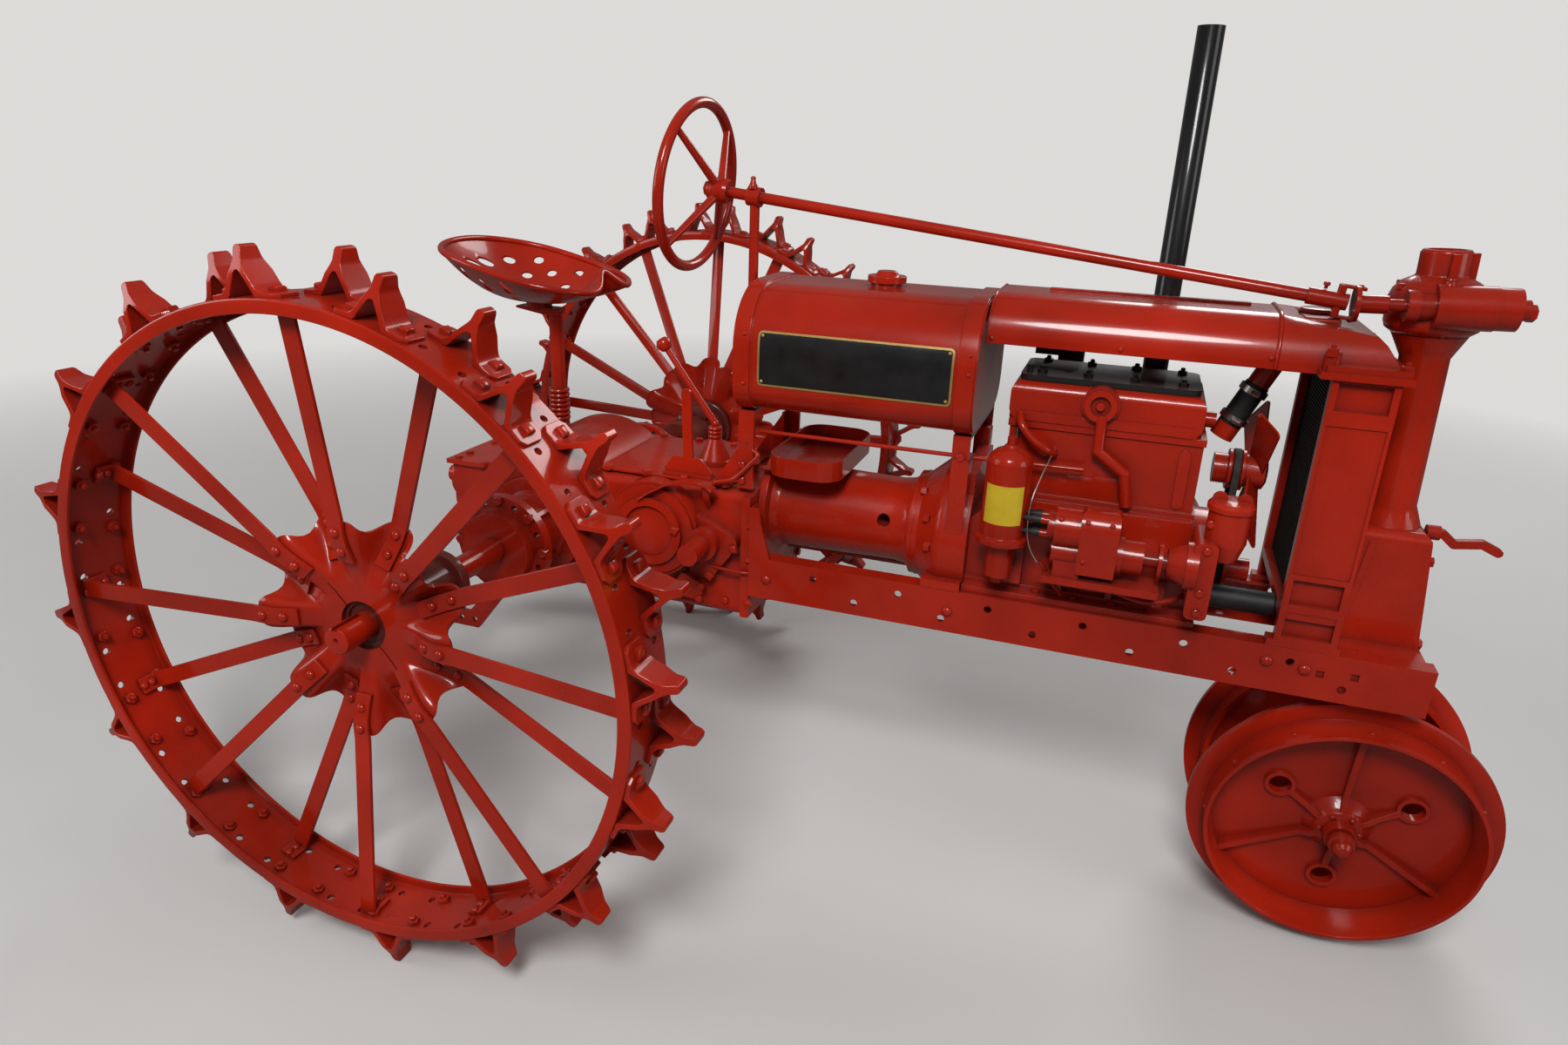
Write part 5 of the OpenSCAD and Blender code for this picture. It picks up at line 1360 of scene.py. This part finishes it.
@dataclass
class Trim:
    """Bead, clamps, cap, pedal and rods round the hood, the hose and the controls."""

    hood_x: float = 1701.0
    hood_half: float = 158.0
    hood_z: float = 1349.8
    hood_top: float = 102.0
    round: float = 90.0
    hose_foot: Point = (1652.0, 0.0, 1195.8)
    pad_low: Point = (1742.0, -84.0, 1426.0)
    pad_high: Point = (1814.0, 84.0, 1450.0)
    hose_lean: float = 24.0
    clamps: tuple[float, float] = (15.0, 85.0)

    def arch(self, out: float, steps: int = 10) -> list[tuple[float, float]]:
        """Give the hood's section from the right edge over to the left, as y and z."""
        flat, top = self.hood_half - self.round, self.hood_z + self.hood_top - self.round
        turn = [k * math.pi / 2 / steps for k in range(steps + 1)]
        r = self.round + out
        half = [(flat + r * math.cos(a), top + r * math.sin(a)) for a in turn]
        right = [(-y, z) for y, z in [(self.hood_half + out, self.hood_z + 2)] + half]
        return right + [(-y, z) for y, z in right[::-1]]

    def build(self) -> None:
        """Make the hood's bead and seam, the pad and cap on the cast top, and the hose clamps."""
        path = [place(self.hood_x, y, z) for y, z in self.arch(0.5)]
        dress(Bench.tube("hood_bead", path, 5.0, smooth=False), "sheet_red")
        seam = [place(1122.0, y, z) for y, z in self.arch(0.2)]
        dress(Bench.tube("hood_seam", seam, 2.2, smooth=False), "sheet_red")
        low, high = Vector(self.pad_low), Vector(self.pad_high)
        pad = Bench.block("pad", tuple(low), tuple(high))
        pad.data.transform(Matrix.Translation((AXLE_X, 0.0, 0.0)))
        Bench.soften(pad, 6.0)
        middle = (low + high) / 2
        cap = Bench.turned("cap", [(0, -2), (36, -2), (37, 3), (34, 8), (30, 10), (0, 11)],
                           place(middle.x, 0.0, high.z), steps=48)
        dress(Bench.join("top_filler", [pad, Bench.soften(cap)]), "cast_red")
        self.pedal()
        turn = (0.0, math.radians(self.hose_lean), 0.0)
        foot = place(*self.hose_foot)
        bands = [Bench.turned("band", [(29.4, z - 7), (31, z - 7), (31, z + 7), (29.4, z + 7),
                                       (29.4, z - 7)], foot, turn, 48) for z in self.clamps]
        along = Matrix.Rotation(turn[1], 4, "Y")
        ears = [Matrix.Translation(foot) @ along @ shift(0.0, -36.0, z) @ Side.FRONT.turn()
                @ Matrix.Scale(6.0, 4) for z in self.clamps]
        ear = Bench.turned("ear", [(0, -1.6), (0.9, -1.6), (0.9, 1.6), (0, 1.6)], steps=6)
        clamps = Bench.join("hose_clamps", [*bands, Bench.copies("ears", ear, ears)])
        dress(clamps, "bright_steel")

    def pedal(self) -> None:
        """Bend the foot pedal with its arm, the clutch hoop and the brake rod."""
        pad = [(303, 893), (333, 916), (380, 943), (427, 956), (462, 959), (489, 954), (505, 943)]
        outline = [place(x, -214, z) for x, z in pad]
        outline += [place(x, -214, z - 6) for x, z in pad[::-1]]
        blade = Bench.plate("blade", outline, Vector((0.0, -0.034, 0.0)), 1.5)
        arm = Bench.tube("arm", route((480, -231, 952), (484, -226, 925), (476, -205, 900),
                                      (470, -180, 885), (468, -160, 878)), 9.0)
        dress(Bench.join("foot_pedal", [blade, arm]), "wheel_red")
        for name, radius, path in (
                ("clutch_hoop", 5.5, [(470, -165, 905), (478, -184, 938), (500, -188, 951),
                                      (535, -188, 957), (560, -188, 980), (584, -188, 1008),
                                      (603, -188, 1027), (602, -184, 1037), (586, -176, 1039)]),
                ("brake_rod", 4.0, [(480, -190, 728), (486, -208, 728), (540, -210, 726),
                                    (592, -210, 724), (598, -196, 724)])):
            dress(Bench.tube(name, route(*path), radius), "wheel_red")


@dataclass
class Belt:
    """Cloth belt over the fan's and the crankshaft's pulleys."""

    x0: float = 1673.6
    x1: float = 1688.4
    upper: tuple[float, float] = (1091.8, 47.6)
    lower: tuple[float, float] = (855.8, 59.6)
    thick: float = 11.2
    steps: int = 24
    over: float = 5.0

    def loop(self, inset: float, x: float) -> list[Vector]:
        """Give a loop round both pulleys at a place along the tractor."""
        (z_up, r_up), (z_low, r_low) = self.upper, self.lower
        lean = math.asin((r_low - r_up) / (z_up - z_low))
        turns = [(z, r - inset, start + i * sweep / self.steps) for z, r, start, sweep in (
            (z_up, r_up, lean, math.pi - 2 * lean),
            (z_low, r_low, math.pi - lean, math.pi + 2 * lean)) for i in range(self.steps + 1)]
        return [place(x, r * math.cos(t), z + r * math.sin(t)) for z, r, t in turns]

    def build(self) -> None:
        """Cut the inner loop out of the outer one."""
        wide, over = self.x1 - self.x0, self.over
        belt = Bench.plate("belt", self.loop(0.0, self.x0), Vector((wide * MM, 0.0, 0.0)))
        inner = Bench.plate("inner", self.loop(self.thick, self.x0 - over),
                            Vector(((wide + 2 * over) * MM, 0.0, 0.0)))
        dress(Bench.soften(Bench.cut(belt, inner), 1.0), "belt_cloth")


@dataclass
class Core:
    """Radiator core: thin fins round a dark body."""

    count: int = 64
    thick: float = 1.2
    out: float = 0.003

    def build(self) -> None:
        """Make the fins as thin plates, copied up the core."""
        low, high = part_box("radiator_core")
        body = Bench.solid_copy("radiator_core", "core_body")
        dress(Bench.soften(body), "core_dark", stands_for="radiator_core")
        fin = Bench.block("fin", ((low.x - self.out) / MM, low.y / MM, 0.0),
                          ((high.x + self.out) / MM, high.y / MM, self.thick))
        step = (high.z - low.z) / self.count
        rows = [Matrix.Translation((0.0, 0.0, low.z + (k + 0.5) * step))
                for k in range(self.count)]
        dress(Bench.copies("core_fins", fin, rows), "core_dark")


@dataclass
class Studio:
    """Floor, lights, world and camera."""

    lens: float = 22.977
    eye: Point = (1422.6, -2378.3, 1735.2)
    right: Point = (0.94180987, 0.33436247, 0.03458175)
    up: Point = (-0.14787752, 0.31973561, 0.93589603)
    ahead: Point = (-0.30187149, 0.88654998, -0.35057485)
    backdrop: Point = (0.72, 0.71, 0.695)
    ambient: float = 0.22
    fade_from: float = 2.6
    fade_to: float = 7.5
    floor_size: float = 240.0
    floor_drop: float = 0.0005

    def build(self) -> None:
        """Make the stage."""
        self.floor()
        self.lamps()
        self.world()
        self.camera()

    def floor(self) -> None:
        """Lay a wide pale floor."""
        Bench.clear()
        bpy.ops.mesh.primitive_plane_add(size=self.floor_size,
                                         location=(0.0, 0.0, -self.floor_drop))
        floor = bpy.context.object
        floor.name = "floor"
        s = Shader("pale_floor")
        pale = s.mix(s.noise(1.3, 3.0).clear(0.3, 0.7), (0.78, 0.775, 0.765), (0.81, 0.805, 0.795))
        seen = s.node("ShaderNodeLightPath", {}, output="Is Camera Ray")
        tone = s.mix(seen, (0.26, 0.25, 0.24), pale)
        s.set(Base_Color=tone, Roughness=0.75)
        s.fade(self.fade_from, self.fade_to, self.backdrop)
        floor.data.materials.append(s.material)

    def lamps(self) -> None:
        """Hang the soft lamps."""
        for name, spot, aim, size, power in (
                ("key", (0.6, -4.2, 4.6), (0.0, 0.0, 0.7), 1.6, 170.0),
                ("fill", (-4.6, -2.6, 2.6), (-0.5, 0.0, 0.8), 2.4, 45.0),
                ("back", (1.5, 4.5, 4.2), (0.0, 0.0, 0.8), 2.4, 90.0),
                ("front", (5.2, -1.2, 2.4), (1.0, 0.0, 0.8), 2.4, 30.0)):
            Bench.clear()
            bpy.ops.object.light_add(type="AREA", location=spot)
            lamp = bpy.context.object
            lamp.name = name
            lamp.data.energy = power
            lamp.data.shape = "DISK"
            lamp.data.size = size
            way = Vector(aim) - Vector(spot)
            lamp.rotation_euler = way.to_track_quat("-Z", "Y").to_euler()

    def world(self) -> None:
        """Light the room evenly and show a pale background."""
        world = bpy.data.worlds.new("room")
        bpy.context.scene.world = world
        nodes = Nodes(world)
        rays = [nodes.node("ShaderNodeLightPath", {}, output=kind)
                for kind in ("Is Camera Ray", "Is Transmission Ray")]
        seen = nodes.node("ShaderNodeMath", dict(enumerate(rays)), operation="MAXIMUM")
        back = nodes.tree.nodes["Background"].inputs
        nodes.plug(back["Strength"], nodes.node(
            "ShaderNodeMapRange", {"Value": seen, "To Min": self.ambient, "To Max": 1.0}))
        nodes.plug(back["Color"], self.backdrop)

    def camera(self) -> None:
        """Stand the camera where the photo was taken."""
        data = bpy.data.cameras.new("camera")
        data.sensor_width = 36.0
        data.lens = self.lens
        data.clip_start = 0.05
        data.clip_end = 400.0
        camera = bpy.data.objects.new("camera", data)
        bpy.context.scene.collection.objects.link(camera)
        turn = Matrix((self.right, self.up, [-a for a in self.ahead])).transposed()
        camera.matrix_world = Matrix.LocRotScale(place(*self.eye), turn, None)
        bpy.context.scene.camera = camera


def main() -> None:
    """Build the tractor's looks, then the stage."""
    logging.basicConfig(level=logging.INFO, format="%(name)s %(message)s")
    scene = bpy.context.scene
    scene.view_settings.view_transform = "Standard"
    for part in (Castings(), Fasteners(), RearWheel(), FrontRivets(), Seat(), Plates(), Wiring(),
                 SteeringTrim(), Trim(), Belt(), Core()):
        part.build()
    Studio().build()


if __name__ == "__main__":
    main()
